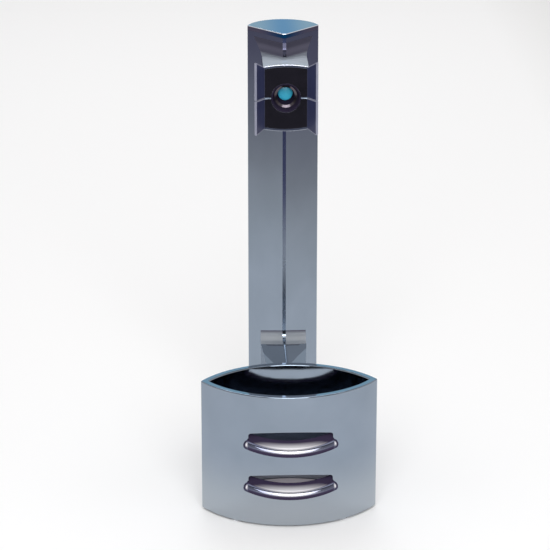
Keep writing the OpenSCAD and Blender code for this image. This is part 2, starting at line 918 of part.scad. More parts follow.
module piston() {
    color([0.9, 0.9, 0.88])
    difference() {
        ybar(0, piston_y, piston_y + piston_l, head_z, piston_r);
        ybar(0, piston_y - cut, piston_y + rod_seat, head_z, rod_r + seat);
        difference() {
            ybar(0, groove_y - groove_w / 2, groove_y + groove_w / 2, head_z, bore_r);
            ybar(0, groove_y - groove_w, groove_y + groove_w, head_z, oring_big - oring_r - seat);
        }
    }
}

module piston_seal() {
    color([0.1, 0.1, 0.1])
    translate([0, groove_y, head_z])
        rotate([-90, 0, 0])
            rotate_extrude()
                translate([oring_big, 0])
                    circle(r = oring_r, $fn = 32);
}

module barrel_gland() {
    color([0.85, 0.85, 0.83])
    difference() {
        ybar(0, gland_f, gland_f + gland_l, head_z, bore_r - snug);
        ybar(0, gland_f - cut, gland_f + gland_l + cut, head_z, rod_r + run);
    }
}

module pump_barrel() {
    boss_lo = duct_z - duct_r - snug;
    color([0.9, 0.9, 0.88])
    difference() {
        union() {
            ybar(0, flange_y, bore_end + barrel_end, head_z, barrel_r);
            ybar(0, flange_y, flange_y + flange_t - seat, head_z, flange_r);
            zbar(0, ry + suck_y, valve_z + seat, head_z, valve_r);
            zbar(0, ry + out_y, boss_lo, head_z, out_boss);
        }
        ybar(0, flange_y - cut, bore_end, head_z, bore_r);
        zbar(0, ry + suck_y, valve_z - cut, head_z, port_r);
        zbar(0, ry + suck_y, valve_z - cut, valve_z + spigot_l + snug, spigot_r + snug);
        zbar(0, ry + out_y, duct_z, head_z, port_r);
        ybar(0, ry, ry + out_y, duct_z, port_r);
        ybar(0, flange_y - cut, ry + out_y - out_boss + duct_in + seat, duct_z, duct_r + snug);
    }
}

module return_spring() {
    color([0.65, 0.65, 0.67])
    difference() {
        ybar(0, piston_y + piston_l + seat, bore_end - seat, head_z, spring_r);
        ybar(0, piston_y, bore_end + cut, head_z, spring_r - spring_t);
    }
}

module suction_valve() {
    y = ry + suck_y;
    color([0.85, 0.85, 0.83])
    difference() {
        union() {
            zbar(0, y, valve_lo, valve_z, valve_r);
            zbar(0, y, valve_z - cut, valve_z + spigot_l, spigot_r);
        }
        zbar(0, y, valve_lo - cut, tube_top + seat, tube_r + snug);
        zbar(0, y, tube_top - cut, seat_z + cut, seat_r);
        translate([0, y, seat_z])
            cylinder(r1 = seat_r, r2 = chamber_r, h = cone_h);
        zbar(0, y, seat_z + cone_h, ball_top + seat, chamber_r);
        zbar(0, y, ball_top - cut, valve_z + spigot_l + cut, port_r);
    }
}

module suction_ball() {
    color([0.7, 0.7, 0.72])
    translate([0, ry + suck_y, ball_z])
        sphere(r = ball_r);
}

module suction_tube() {
    color([0.85, 0.88, 0.9])
    difference() {
        zbar(0, ry + suck_y, tube_z, tube_top, tube_r);
        zbar(0, ry + suck_y, tube_z - cut, tube_top + cut, tube_bore);
    }
}

module outlet_duct() {
    y0 = ry - nozzle_y + nozzle_r - nozzle_in;
    y1 = ry + out_y - out_boss + duct_in;
    color([0.85, 0.88, 0.9])
    difference() {
        ybar(0, y0, y1, duct_z, duct_r);
        ybar(0, y0 - cut, y1 + cut, duct_z, duct_bore);
    }
}

module nozzle_at() {
    translate([0, ry - nozzle_y, duct_z])
        rotate([-nozzle_a, 0, 0])
            children();
}

module nozzle() {
    y0 = ry - nozzle_y + nozzle_r - nozzle_in;
    color([0.06, 0.06, 0.06])
    difference() {
        nozzle_at()
            translate([0, 0, -nozzle_dn])
                cylinder(r = nozzle_r, h = nozzle_dn + nozzle_up);
        ybar(0, y0 - seat, ry, duct_z, duct_r + snug);
        ybar(0, ry - nozzle_y, ry, duct_z, port_r);
        nozzle_at() {
            translate([0, 0, -nozzle_dn - cut])
                cylinder(r = nozzle_bore, h = nozzle_dn + cut);
            translate([0, 0, -nozzle_dn - cut])
                cylinder(r = bill_r + seat, h = bill_l + cut + seat);
        }
    }
}

module outlet_valve() {
    color([0.15, 0.15, 0.15])
    nozzle_at()
        translate([0, 0, -nozzle_dn])
            difference() {
                cylinder(r = bill_r, h = bill_l);
                translate([0, 0, bill_end])
                    cylinder(r = port_r, h = bill_l);
                translate([-port_r, -slit / 2, -cut])
                    cube([2 * port_r, slit, bill_end + 2 * cut]);
            }
}

column_shell();
top_cap();
cap_seal();
base_plug();
foot_pad();
soap_tank();
tank_lid();
filler_tray();
arm();
arm_screws();
cup_shell();
upper_lip();
lower_lip();
cup_floor();
cup_mat();
cup_screws();
cup_feet();
head_upper();
head_lower();
head_gasket();
head_screws();
fascia_upper();
fascia_lower();
button_bezel();
push_button();
piston_rod();
piston();
piston_seal();
barrel_gland();
pump_barrel();
return_spring();
suction_valve();
suction_ball();
suction_tube();
outlet_duct();
nozzle();
outlet_valve();
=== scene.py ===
import bpy
import bmesh
import json
from math import asin, atan, atan2, cos, pi, radians, sin, sqrt, tan
from mathutils import Matrix, Vector
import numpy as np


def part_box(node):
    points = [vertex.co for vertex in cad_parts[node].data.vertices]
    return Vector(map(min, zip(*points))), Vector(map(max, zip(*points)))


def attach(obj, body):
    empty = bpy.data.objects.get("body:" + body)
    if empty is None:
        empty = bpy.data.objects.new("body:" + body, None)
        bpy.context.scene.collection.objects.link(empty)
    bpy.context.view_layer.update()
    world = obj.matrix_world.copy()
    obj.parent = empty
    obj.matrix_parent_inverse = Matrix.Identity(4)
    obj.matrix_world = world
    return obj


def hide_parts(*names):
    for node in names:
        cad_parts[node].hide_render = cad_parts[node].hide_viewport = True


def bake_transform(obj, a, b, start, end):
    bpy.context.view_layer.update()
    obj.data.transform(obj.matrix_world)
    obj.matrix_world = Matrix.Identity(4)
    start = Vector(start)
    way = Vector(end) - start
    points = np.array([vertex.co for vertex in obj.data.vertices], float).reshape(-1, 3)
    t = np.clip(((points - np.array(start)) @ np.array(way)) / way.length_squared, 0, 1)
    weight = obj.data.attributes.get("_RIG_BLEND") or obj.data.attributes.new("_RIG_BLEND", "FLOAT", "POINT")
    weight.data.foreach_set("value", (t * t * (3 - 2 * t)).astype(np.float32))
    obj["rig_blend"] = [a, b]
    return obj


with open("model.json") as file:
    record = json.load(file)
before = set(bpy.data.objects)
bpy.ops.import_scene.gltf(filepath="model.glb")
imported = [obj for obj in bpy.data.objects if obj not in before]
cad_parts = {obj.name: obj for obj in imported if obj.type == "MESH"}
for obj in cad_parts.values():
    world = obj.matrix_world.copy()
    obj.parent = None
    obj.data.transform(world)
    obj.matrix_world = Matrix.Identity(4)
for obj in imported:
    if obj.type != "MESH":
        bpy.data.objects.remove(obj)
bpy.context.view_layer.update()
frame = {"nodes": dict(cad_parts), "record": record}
scene = bpy.context.scene
scene.view_settings.view_transform = "Standard"
mm = 0.001  # pieces are given in millimetres and degrees, the studio in metres
hair = 0.001 * mm  # points this near are one point
skim = 0.01 * mm  # a cutter stays this far off a face that it follows
touch = 0.02 * mm  # a point this near a face lies on it
close = 0.2 * mm  # a point this near an edge belongs to it
squarely = 0.98  # a normal with this much of a direction faces that way
print("frame loaded")


def arcRadius(half, rise):
    return (half * half + rise * rise) / (2 * rise)


def shareOf(value, start, end):
    return min(max((value - start) / (end - start), 0), 1)


# shader steps

def addNode(tree, kind, **values):
    node = tree.nodes.new(kind)
    for key, value in values.items():
        setattr(node, key, value)
    return node


def feed(tree, value, socket):
    if isinstance(value, bpy.types.NodeSocket):
        tree.links.new(value, socket)
    elif isinstance(value, tuple):
        socket.default_value = (*value, 1)
    else:
        socket.default_value = value


def mathOf(tree, kind, *values):
    node = addNode(tree, "ShaderNodeMath", operation=kind)
    for value, socket in zip(values, node.inputs):
        feed(tree, value, socket)
    return node.outputs[0]


def mixOf(tree, share, first, second):
    mix = addNode(tree, "ShaderNodeMix", data_type="RGBA")
    feed(tree, share, mix.inputs["Factor"])
    feed(tree, first, mix.inputs[6])  # 6 and 7 are the colour inputs, 2 is the colour output
    feed(tree, second, mix.inputs[7])
    return mix.outputs[2]


def spanOf(tree, value, start, end, kind="SMOOTHSTEP"):
    span = addNode(tree, "ShaderNodeMapRange", interpolation_type=kind)
    feed(tree, value, span.inputs["Value"])
    feed(tree, start, span.inputs["From Min"])
    feed(tree, end, span.inputs["From Max"])
    return span.outputs["Result"]


def rampOf(tree, factor, stops):
    ramp = addNode(tree, "ShaderNodeValToRGB")
    elements = ramp.color_ramp.elements
    while len(elements) < len(stops):
        elements.new(0.5)
    for element, (place, color) in zip(elements, stops):
        element.position = place
        element.color = (*color, 1)
    feed(tree, factor, ramp.inputs["Fac"])
    return ramp.outputs["Color"]


def placeParts(tree, kind):
    coords = addNode(tree, "ShaderNodeTexCoord")
    parts = addNode(tree, "ShaderNodeSeparateXYZ")
    feed(tree, coords.outputs[kind], parts.inputs["Vector"])
    return parts.outputs


def noiseOn(tree, size, detail=3, stretch=(1, 1, 1)):
    coords = addNode(tree, "ShaderNodeTexCoord")
    mapping = addNode(tree, "ShaderNodeMapping")
    mapping.inputs["Scale"].default_value = stretch
    noise = addNode(tree, "ShaderNodeTexNoise")
    noise.inputs["Scale"].default_value = size
    noise.inputs["Detail"].default_value = detail
    feed(tree, coords.outputs["Object"], mapping.inputs["Vector"])
    feed(tree, mapping.outputs["Vector"], noise.inputs["Vector"])
    return noise.outputs["Fac"]


# materials

chromeGrain = {"tint": 38, "polish": 140, "ripple": 420, "stretch": (1, 1, 0.4), "depth": 0.02,
               "strength": 0.06}
plasticGrain = {"tint": 160, "polish": 600, "ripple": 2600, "stretch": (1, 1, 1), "depth": 0.03,
                "strength": 0.05}


def newFinish(name, color, metallic, roughness):
    mat = bpy.data.materials.new(name)
    mat.use_nodes = True
    shader = mat.node_tree.nodes["Principled BSDF"]
    shader.inputs["Base Color"].default_value = (*color, 1)
    shader.inputs["Metallic"].default_value = metallic
    shader.inputs["Roughness"].default_value = roughness
    return mat, shader


def grainedFinish(name, metallic, grain, dark, light, smoothest, roughest, strength):
    mat, shader = newFinish(name, light, metallic, smoothest)
    tree = mat.node_tree
    tone = rampOf(tree, noiseOn(tree, grain["tint"]), ((0.3, dark), (0.7, light)))
    feed(tree, tone, shader.inputs["Base Color"])
    polish = addNode(tree, "ShaderNodeMapRange")
    polish.inputs["To Min"].default_value = smoothest
    polish.inputs["To Max"].default_value = roughest
    feed(tree, noiseOn(tree, grain["polish"]), polish.inputs["Value"])
    feed(tree, polish.outputs["Result"], shader.inputs["Roughness"])
    bump = addNode(tree, "ShaderNodeBump")
    bump.inputs["Strength"].default_value = strength
    bump.inputs["Distance"].default_value = grain["depth"] * mm
    feed(tree, noiseOn(tree, grain["ripple"], detail=2, stretch=grain["stretch"]), bump.inputs["Height"])
    feed(tree, bump.outputs["Normal"], shader.inputs["Normal"])
    return mat


def chromeFinish(name, dark, light, smoothest, roughest):
    return grainedFinish(name, 1, chromeGrain, dark, light, smoothest, roughest, chromeGrain["strength"])


def plasticFinish(name, dark, light, smoothest, roughest, strength=plasticGrain["strength"]):
    return grainedFinish(name, 0, plasticGrain, dark, light, smoothest, roughest, strength)


def tint(mat, share, color):
    shader = mat.node_tree.nodes["Principled BSDF"]
    plain = shader.inputs["Base Color"].links[0].from_socket
    feed(mat.node_tree, mixOf(mat.node_tree, share, plain, color), shader.inputs["Base Color"])


def tintBy(mat, attribute, color, start=0):
    share = addNode(mat.node_tree, "ShaderNodeAttribute", attribute_name=attribute).outputs["Fac"]
    tint(mat, spanOf(mat.node_tree, share, start, 1, "LINEAR"), color)


def tintAcross(mat, color, reach, axis="X", near=0):
    away = mathOf(mat.node_tree, "ABSOLUTE", placeParts(mat.node_tree, "Object")[axis])
    tint(mat, spanOf(mat.node_tree, away, reach * mm, near * mm), color)


def dullBy(mat, attribute):
    tree = mat.node_tree
    shader = tree.nodes["Principled BSDF"]
    share = addNode(tree, "ShaderNodeAttribute", attribute_name=attribute).outputs["Fac"]
    smooth = shader.inputs["Roughness"].links[0].from_socket
    feed(tree, mathOf(tree, "MAXIMUM", smooth, share), shader.inputs["Roughness"])
    feed(tree, mathOf(tree, "SUBTRACT", 1, share), shader.inputs["Metallic"])
    shader.inputs["Specular IOR Level"].default_value = 0


chrome = chromeFinish("platedChrome", (0.248, 0.297, 0.362), (0.274, 0.325, 0.398), 0.04, 0.08)
# Painted shade: the column ridge facet is dark navy above 180 mm and blends to a plated-chrome colour below
# 120 mm, standing in for the dark reflection along the ridge.
ridgePaintedShadeChrome = chromeFinish("ridgePaintedShadeChrome", (0.088, 0.104, 0.20), (0.097, 0.113, 0.215), 0.24, 0.30)
tintAcross(ridgePaintedShadeChrome, (0.262, 0.311, 0.38), reach=180, axis="Z", near=120)
# Painted light: the cup chrome turns lighter towards its foot, below 44 mm, offsetting the darker floor it
# reflects there.
cupChrome = chromeFinish("cupChrome", (0.248, 0.297, 0.362), (0.274, 0.325, 0.398), 0.04, 0.08)
tintAcross(cupChrome, (0.40, 0.44, 0.485), reach=44, axis="Z")
# Painted reflection: the cap chrome turns blue within 16 mm of its middle, standing in for the blue backdrop
# it reflects.
capChrome = chromeFinish("capChrome", (0.30, 0.30, 0.355), (0.33, 0.33, 0.38), 0.05, 0.09)
tintAcross(capChrome, (0.012, 0.155, 0.35), reach=16)
# Satin chrome: a rougher finish, with a colour lighter than the plated chrome as painted light on faces that
# look up (the head roof and the flares).
satinChromePaintedLight = chromeFinish("satinChromePaintedLight", (0.385, 0.425, 0.475), (0.435, 0.48, 0.535), 0.44, 0.54)
# Painted shade: the flares' shade attribute darkens the satin chrome towards each flare's top and sides.
tintBy(satinChromePaintedLight, "shade", (0.11, 0.11, 0.16))
# Painted highlight: a much lighter copy of the chrome on rounded edges (the cap's top edge, the head's rims)
# draws them as bright lines.
edgeHighlightChrome = chromeFinish("edgeHighlightChrome", (0.66, 0.69, 0.78), (0.74, 0.77, 0.86), 0.10, 0.16)
# Painted reflection: the lip chrome is lighter within 21 mm of the middle, standing in for the front light it
# reflects.
lipChrome = chromeFinish("lipChrome", (0.15, 0.165, 0.24), (0.18, 0.195, 0.27), 0.06, 0.11)
tintAcross(lipChrome, (0.40, 0.395, 0.42), reach=21)
# Painted shade: the lip is darkened and dulled under the bead and inside the slot.
tintBy(lipChrome, "dullPaintedShade", (0.040, 0.031, 0.062))
# Painted light: whitens the tongue towards the bead and small glint dots on the bead's ends.
tintBy(lipChrome, "paintedLight", (0.90, 0.89, 0.92), start=0.25)
# Painted shade: darkens the bead's rounded ends, standing in for the dark surroundings they reflect.
tintBy(lipChrome, "ends", (0.055, 0.052, 0.10))
dullBy(lipChrome, "dullPaintedShade")
ringChrome = chromeFinish("ringChrome", (0.09, 0.078, 0.092), (0.115, 0.10, 0.115), 0.12, 0.16)
# Painted shade: a near-black copy of the chrome on the head flare's ridge facet, standing in for the dark
# band reflected there.
flareRidgeShade = chromeFinish("flareRidgeShade", (0.035, 0.036, 0.058), (0.05, 0.051, 0.078), 0.10, 0.14)
steel = chromeFinish("screwSteel", (0.52, 0.52, 0.54), (0.62, 0.62, 0.64), 0.24, 0.36)
blackGloss = plasticFinish("blackGloss", (0.003, 0.0025, 0.005), (0.006, 0.005, 0.009), 0.10, 0.18)
dishBlack = plasticFinish("dishBlack", (0.020, 0.016, 0.034), (0.030, 0.024, 0.046), 0.45, 0.6)
dishBlack.node_tree.nodes["Principled BSDF"].inputs["Specular IOR Level"].default_value = 0
# Painted shade: the wings' inner faces take a dark navy plastic, standing in for the dark reflection they
# show; their outer faces stay chrome.
wingInnerShade = plasticFinish("wingInnerShade", (0.026, 0.031, 0.078), (0.032, 0.038, 0.092), 0.30, 0.33, 0)
buttonBlue = plasticFinish("buttonBlue", (0.07, 0.65, 0.97), (0.10, 0.73, 1.0), 0.16, 0.24)
# Painted highlight: a pale plastic on the wings' rounded edges draws their light outlines.
wingEdgeHighlight = plasticFinish("wingEdgeHighlight", (0.25, 0.26, 0.34), (0.31, 0.32, 0.40), 0.2, 0.3)
# Painted highlight: a grey plastic on the rounded rim of the black face draws a light line along it.
faceRimHighlight = plasticFinish("faceRimHighlight", (0.20, 0.21, 0.27), (0.26, 0.27, 0.33), 0.2, 0.3)
paleMat = plasticFinish("paleMat", (0.86, 0.77, 0.80), (0.94, 0.85, 0.88), 0.6, 0.8, 0.3)
blackRubber = plasticFinish("blackRubber", (0.012, 0.012, 0.012), (0.022, 0.022, 0.022), 0.62, 0.8, 0.35)
footRubber = plasticFinish("footRubber", (0.40, 0.42, 0.45), (0.50, 0.52, 0.55), 0.5, 0.65, 0.2)
darkPlastic = plasticFinish("darkPlastic", (0.10, 0.10, 0.11), (0.16, 0.16, 0.18), 0.38, 0.5, 0.2)
milkPlastic = plasticFinish("milkPlastic", (0.72, 0.75, 0.76), (0.82, 0.84, 0.85), 0.35, 0.48, 0.12)
nozzlePlastic = plasticFinish("nozzlePlastic", (0.02, 0.02, 0.02), (0.04, 0.04, 0.04), 0.3, 0.4, 0.15)
print("materials made")


# shared mesh steps

def makePiece(name, bm, finish, body, slotName, *nodes, sharp=32):
    bmesh.ops.recalc_face_normals(bm, faces=bm.faces)
    if bm.calc_volume(signed=True) < 0:
        bmesh.ops.reverse_faces(bm, faces=bm.faces)
    mesh = bpy.data.meshes.new(name)
    bm.to_mesh(mesh)
    bm.free()
    mesh.shade_smooth()
    mesh.set_sharp_from_angle(angle=radians(sharp))
    for each in finish if isinstance(finish, tuple) else (finish,):
        mesh.materials.append(each)
    piece = bpy.data.objects.new(name, mesh)
    scene.collection.objects.link(piece)
    even = piece.modifiers.new("evenNormals", "WEIGHTED_NORMAL")  # flat faces stay flat beside rounded edges
    even.keep_sharp = True
    if isinstance(body, tuple):
        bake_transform(piece, *body)
    else:
        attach(piece, body)
    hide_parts(*nodes)


def carve(bm, cutter, operation="DIFFERENCE"):
    pair = []
    for part in (bm, cutter):
        bmesh.ops.recalc_face_normals(part, faces=part.faces)
        mesh = bpy.data.meshes.new("carve")
        part.to_mesh(mesh)
        part.free()
        pair.append(bpy.data.objects.new("carve", mesh))
        scene.collection.objects.link(pair[-1])
    cut = pair[0].modifiers.new("cut", "BOOLEAN")
    cut.operation = operation
    cut.solver = "EXACT"
    cut.object = pair[1]
    shaped = pair[0].evaluated_get(bpy.context.evaluated_depsgraph_get())
    result = bmesh.new()
    result.from_mesh(shaped.to_mesh())
    shaped.to_mesh_clear()
    for obj in pair:
        mesh = obj.data
        bpy.data.objects.remove(obj)
        bpy.data.meshes.remove(mesh)
    bmesh.ops.dissolve_degenerate(result, edges=result.edges, dist=2 * hair)
    return result


def only(kind, geom):
    return [part for part in geom if isinstance(part, kind)]


def everyPart(bm):
    return bm.verts[:] + bm.edges[:] + bm.faces[:]


def newEdges(bm, before):
    return [e for e in bm.edges if e not in before]


def paint(faces, index):
    for f in faces:
        f.material_index = index


def roundEdges(bm, edges, width, segments=3):
    return bmesh.ops.bevel(bm, geom=edges, offset=width * mm, offset_type="OFFSET", segments=segments,
                           profile=0.5, affect="EDGES", material=-1, clamp_overlap=True)["faces"]


def sliceOff(bm, point, normal):
    cut = bmesh.ops.bisect_plane(bm, geom=everyPart(bm), plane_co=point, plane_no=normal, clear_outer=True)
    edges = only(bmesh.types.BMEdge, cut["geom_cut"])
    if edges:
        bmesh.ops.edgeloop_fill(bm, edges=edges)


def spinWire(bm, start, centre, axis, angle, steps):
    made = bmesh.ops.spin(bm, geom=[start], cent=centre, axis=axis, angle=angle, steps=steps)
    return only(bmesh.types.BMVert, made["geom_last"])[0]


def spinEdges(bm, edges, centre, angle, steps):
    verts = list(dict.fromkeys(v for e in edges for v in e.verts))
    made = bmesh.ops.spin(bm, geom=verts + edges, cent=centre, axis=(0, 0, 1), angle=angle, steps=steps)
    return only(bmesh.types.BMEdge, made["geom_last"])


def bridgeAll(bm, rings):
    for lower, upper in zip(rings, rings[1:]):
        bmesh.ops.bridge_loops(bm, edges=lower + upper)


def turned(bm, profile, centre, steps):
    verts = [bm.verts.new((r * mm, y * mm, 0)) for r, y in profile]
    edges = [bm.edges.new((a, b)) for a, b in zip(verts, verts[1:])]
    bmesh.ops.spin(bm, geom=verts + edges, cent=(0, 0, 0), axis=(0, 1, 0), angle=2 * pi, steps=steps,
                   use_merge=True)
    bmesh.ops.remove_doubles(bm, verts=bm.verts, dist=hair)
    bmesh.ops.translate(bm, verts=bm.verts, vec=centre)
    bmesh.ops.recalc_face_normals(bm, faces=bm.faces)


def barAlongY(x, startY, endY, z, radius, sides=32):
    bm = bmesh.new()
    turn = Matrix.Translation((x, (startY + endY) / 2, z)) @ Matrix.Rotation(pi / 2, 4, "X")
    bmesh.ops.create_cone(bm, cap_ends=True, segments=sides, radius1=radius * mm, radius2=radius * mm,
                          depth=endY - startY, matrix=turn)
    return bm


def blockAt(low, high):
    bm = bmesh.new()
    size = [b - a for a, b in zip(low, high)]
    middle = [(a + b) / 2 for a, b in zip(low, high)]
    bmesh.ops.create_cube(bm, size=1, matrix=Matrix.Translation(middle) @ Matrix.Diagonal((*size, 1)))
    return bm


def growOutline(bm, pairs, vec):
    for pair in pairs:
        bm.edges.new(pair)
    bmesh.ops.edgeloop_fill(bm, edges=bm.edges)
    grown = bmesh.ops.extrude_face_region(bm, geom=bm.faces)
    bmesh.ops.translate(bm, vec=vec, verts=only(bmesh.types.BMVert, grown["geom"]))


def archBlock(half, radius, top, end, startY, endY, steps=40):
    bm = bmesh.new()
    left = bm.verts.new((-half, startY, top - radius + sqrt(radius ** 2 - half ** 2)))
    right = spinWire(bm, left, (0, startY, top - radius), (0, 1, 0), 2 * asin(half / radius), steps)
    corners = [bm.verts.new((x, startY, end)) for x in (half, -half)]
    growOutline(bm, ((right, corners[0]), corners, (corners[1], left)), (0, endY - startY, 0))
    return bm


def copyOfNode(node, flatUnder=0.4):
    bm = bmesh.new()
    bm.from_mesh(frame["nodes"][node].data)
    bmesh.ops.remove_doubles(bm, verts=bm.verts, dist=hair / 2)
    bmesh.ops.dissolve_limit(bm, angle_limit=radians(flatUnder), verts=bm.verts, edges=bm.edges)
    return bm


def sharpEdges(bm, keep, over=40):
    limit = radians(over)
    return [e for e in bm.edges if len(e.link_faces) == 2 and e.calc_face_angle() > limit
            and all(keep(v.co) for v in e.verts)]


def uprights(bm, keep):
    return [e for e in bm.edges if abs(e.verts[0].co.z - e.verts[1].co.z) > mm / 2
            and all(keep(v.co) for v in e.verts)]


# column and cap

column = {"veeDepth": 23.4, "backDepth": 15.7, "wall": 3.0, "ridgeFlat": 1.5, "sideRound": 0.7,
          "arcSteps": 56, "windowWidth": 14.4, "windowDepth": 14.0, "windowLow": 216.25,
          "windowHigh": 235.25, "ahead": 1.0, "screwSeat": 5.4, "seatLap": 0.5,
          "headBore": 1.55, "headSeat": 3.1, "headScrews": (213.0, 241.5),
          "armBore": 2.05, "armSeat": 3.85, "armScrews": (55.5, 67.0)}

columnLow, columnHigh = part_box("column_shell")
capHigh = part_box("top_cap")[1]
ridgeY = columnLow.y
sideY = columnHigh.y - column["backDepth"] * mm
halfWidth = columnHigh.x
veeAngle = atan2(halfWidth, column["veeDepth"] * mm)
backRadius = arcRadius(halfWidth, column["backDepth"] * mm)
backCentre = columnHigh.y - backRadius


def tearRing(bm, inset, z):
    before = set(bm.edges)
    apexY = ridgeY + inset * mm / sin(veeAngle)
    reach = (apexY - backCentre) * cos(veeAngle)
    along = sqrt(reach ** 2 - (apexY - backCentre) ** 2 + (backRadius - inset * mm) ** 2) - reach
    apex = bm.verts.new((0, apexY, z))
    right = bm.verts.new((along * sin(veeAngle), apexY + along * cos(veeAngle), z))
    rise = atan2(right.co.y - backCentre, right.co.x)
    left = spinWire(bm, right, (0, backCentre, z), (0, 0, 1), pi - 2 * rise, column["arcSteps"])
    bm.edges.new((apex, right))
    bm.edges.new((left, apex))
    return newEdges(bm, before)


def nearRidge(point):
    return abs(point.x) < close and point.y < ridgeY + close


def nearSide(point):
    return abs(abs(point.x) - halfWidth) < close and abs(point.y - sideY) < close


def easeUprights(bm):
    roundEdges(bm, uprights(bm, nearRidge), column["ridgeFlat"], segments=1)
    roundEdges(bm, uprights(bm, nearSide), column["sideRound"], segments=4)


bm = bmesh.new()
rings = [tearRing(bm, 0, columnLow.z), tearRing(bm, 0, columnHigh.z),
         tearRing(bm, column["wall"], columnHigh.z), tearRing(bm, column["wall"], columnLow.z)]
bridgeAll(bm, rings + rings[:1])
easeUprights(bm)
windowHalf = column["windowWidth"] / 2 * mm
bm = carve(bm, blockAt((-windowHalf, ridgeY - column["ahead"] * mm, column["windowLow"] * mm),
                       (windowHalf, ridgeY + column["windowDepth"] * mm, column["windowHigh"] * mm)))
for heights, bore, seat in ((column["headScrews"], column["headBore"], column["headSeat"]),
                            (column["armScrews"], column["armBore"], column["armSeat"])):
    for z in heights:
        for radius, start, end in ((bore, -column["ahead"], column["screwSeat"] + column["seatLap"]),
                                   (seat, column["screwSeat"], column["windowDepth"])):
            bm = carve(bm, barAlongY(0, ridgeY + start * mm, ridgeY + end * mm, z * mm, radius))
bm.normal_update()
ridgeEnd = ridgeY + column["ridgeFlat"] * mm
# The ridge facet takes the painted-shade chrome (index 1).
paint([f for f in bm.faces if f.normal.y < -squarely and f.calc_center_median().y < ridgeEnd], 1)
makePiece("columnShell", bm, (chrome, ridgePaintedShadeChrome), "stand", "chrome", "column_shell")
print("column made")

cap = {"gap": 0.03, "skirtInset": 3.85, "skirtWall": 1.4, "skirtDepth": 3.8, "hollowTop": 0.5,
       "edgeRound": 0.4}
bm = bmesh.new()
plateLow = columnHigh.z + cap["gap"] * mm
skirtLow = columnHigh.z - cap["skirtDepth"] * mm
skirtIn = cap["skirtInset"] + cap["skirtWall"]
rings = [tearRing(bm, 0, capHigh.z), tearRing(bm, 0, plateLow), tearRing(bm, cap["skirtInset"], plateLow),
         tearRing(bm, cap["skirtInset"], skirtLow), tearRing(bm, skirtIn, skirtLow),
         tearRing(bm, skirtIn, columnHigh.z + cap["hollowTop"] * mm)]
bridgeAll(bm, rings)
bmesh.ops.edgeloop_fill(bm, edges=rings[0])
bmesh.ops.edgeloop_fill(bm, edges=rings[-1])
bmesh.ops.recalc_face_normals(bm, faces=bm.faces)
easeUprights(bm)
topLine = [e for e in bm.edges if all(v.co.z > capHigh.z - hair for v in e.verts)]
# The cap's top edge takes the painted-highlight chrome.
paint(roundEdges(bm, topLine, cap["edgeRound"], segments=4), 1)
makePiece("topCap", bm, (capChrome, edgeHighlightChrome), "cap", "chrome", "top_cap")
print("cap made")


# cup with its louvre slots

cup = {"wall": 4.0, "ledge": 2.0, "ledgeTop": 4.0, "arcSteps": 72, "rimRound": 0.9, "innerRound": 0.7,
       "pointRound": 0.9, "footRound": 0.5, "lineSlack": 0.35, "screwX": 7.0, "screwZ": 54.0,
       "screwFrom": 8.0, "screwOut": 1.0, "screwBore": 2.05, "screwSeat": 3.85}
slots = {"width": 47.2, "tops": (57.6, 31.9), "arch": 2.4, "drop": 7.8, "edgeRound": 0.45,
         "cornerRound": 1.5, "beadRadius": 2.25, "beadSpan": 48.6, "beadOut": 3.0, "beadSag": 3.1,
         "tongue": 2.2, "gap": 0.03, "sideGap": 0.05, "lean": 26.5, "broad": 1.22, "thin": 0.62,
         "cutAhead": 12.0, "cutDepth": 34.0, "cutDrop": 30.0, "cornerZone": 10.0,
         "edgeZone": (10.0, 62.0), "edgeHalf": 0.6}

cupLow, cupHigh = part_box("cup_shell")
cupY = (cupLow.y + cupHigh.y) / 2
cupHalf = cupHigh.x
cupRise = (cupHigh.y - cupLow.y) / 2
cupRadius = arcRadius(cupHalf, cupRise)
cupOff = cupRadius - cupRise


def lensRing(bm, inset, z):
    before = set(bm.edges)
    radius = cupRadius - inset * mm
    half = sqrt(radius ** 2 - cupOff ** 2)
    sweep = 2 * asin(half / radius)
    left = bm.verts.new((-half, cupY, z))
    right = spinWire(bm, left, (0, cupY + cupOff, z), (0, 0, 1), sweep, cup["arcSteps"])
    end = spinWire(bm, right, (0, cupY - cupOff, z), (0, 0, 1), sweep, cup["arcSteps"])
    bmesh.ops.pointmerge(bm, verts=[left, end], merge_co=left.co)
    return newEdges(bm, before)


def lensLine(bm, z, inset):
    found = []
    for e in sharpEdges(bm, lambda p: abs(p.z - z) < hair, over=57):
        middle = (e.verts[0].co + e.verts[1].co) / 2
        side = cupOff if middle.y < cupY else -cupOff
        gone = cupRadius - Vector((middle.x, middle.y - cupY - side)).length
        if abs(gone - inset * mm) < cup["lineSlack"] * mm:
            found.append(e)
    return found


beadHalf = slots["beadSpan"] / 2 * mm
beadLean = asin(beadHalf / cupRadius)
beadBack = cupRadius * cos(beadLean) - cupOff + (slots["beadRadius"] + slots["gap"]) * mm / cos(beadLean)
beadForward = cupRise + slots["beadOut"] * mm - beadBack
beadTilt = atan(slots["beadSag"] * mm / beadForward)
beadRise = sqrt(beadForward ** 2 + (slots["beadSag"] * mm) ** 2)
beadPath = arcRadius(beadHalf, beadRise)
beadTurn = asin(beadHalf / beadPath)
lipCentre = Vector((0, beadPath - beadRise, 0))
tongueHalf = (slots["width"] / 2 - slots["sideGap"]) * mm


def lipPlace(top):
    spot = (0, cupY - beadBack, (top - slots["drop"]) * mm)
    return Matrix.Translation(spot) @ Matrix.Rotation(beadTilt, 4, "X")


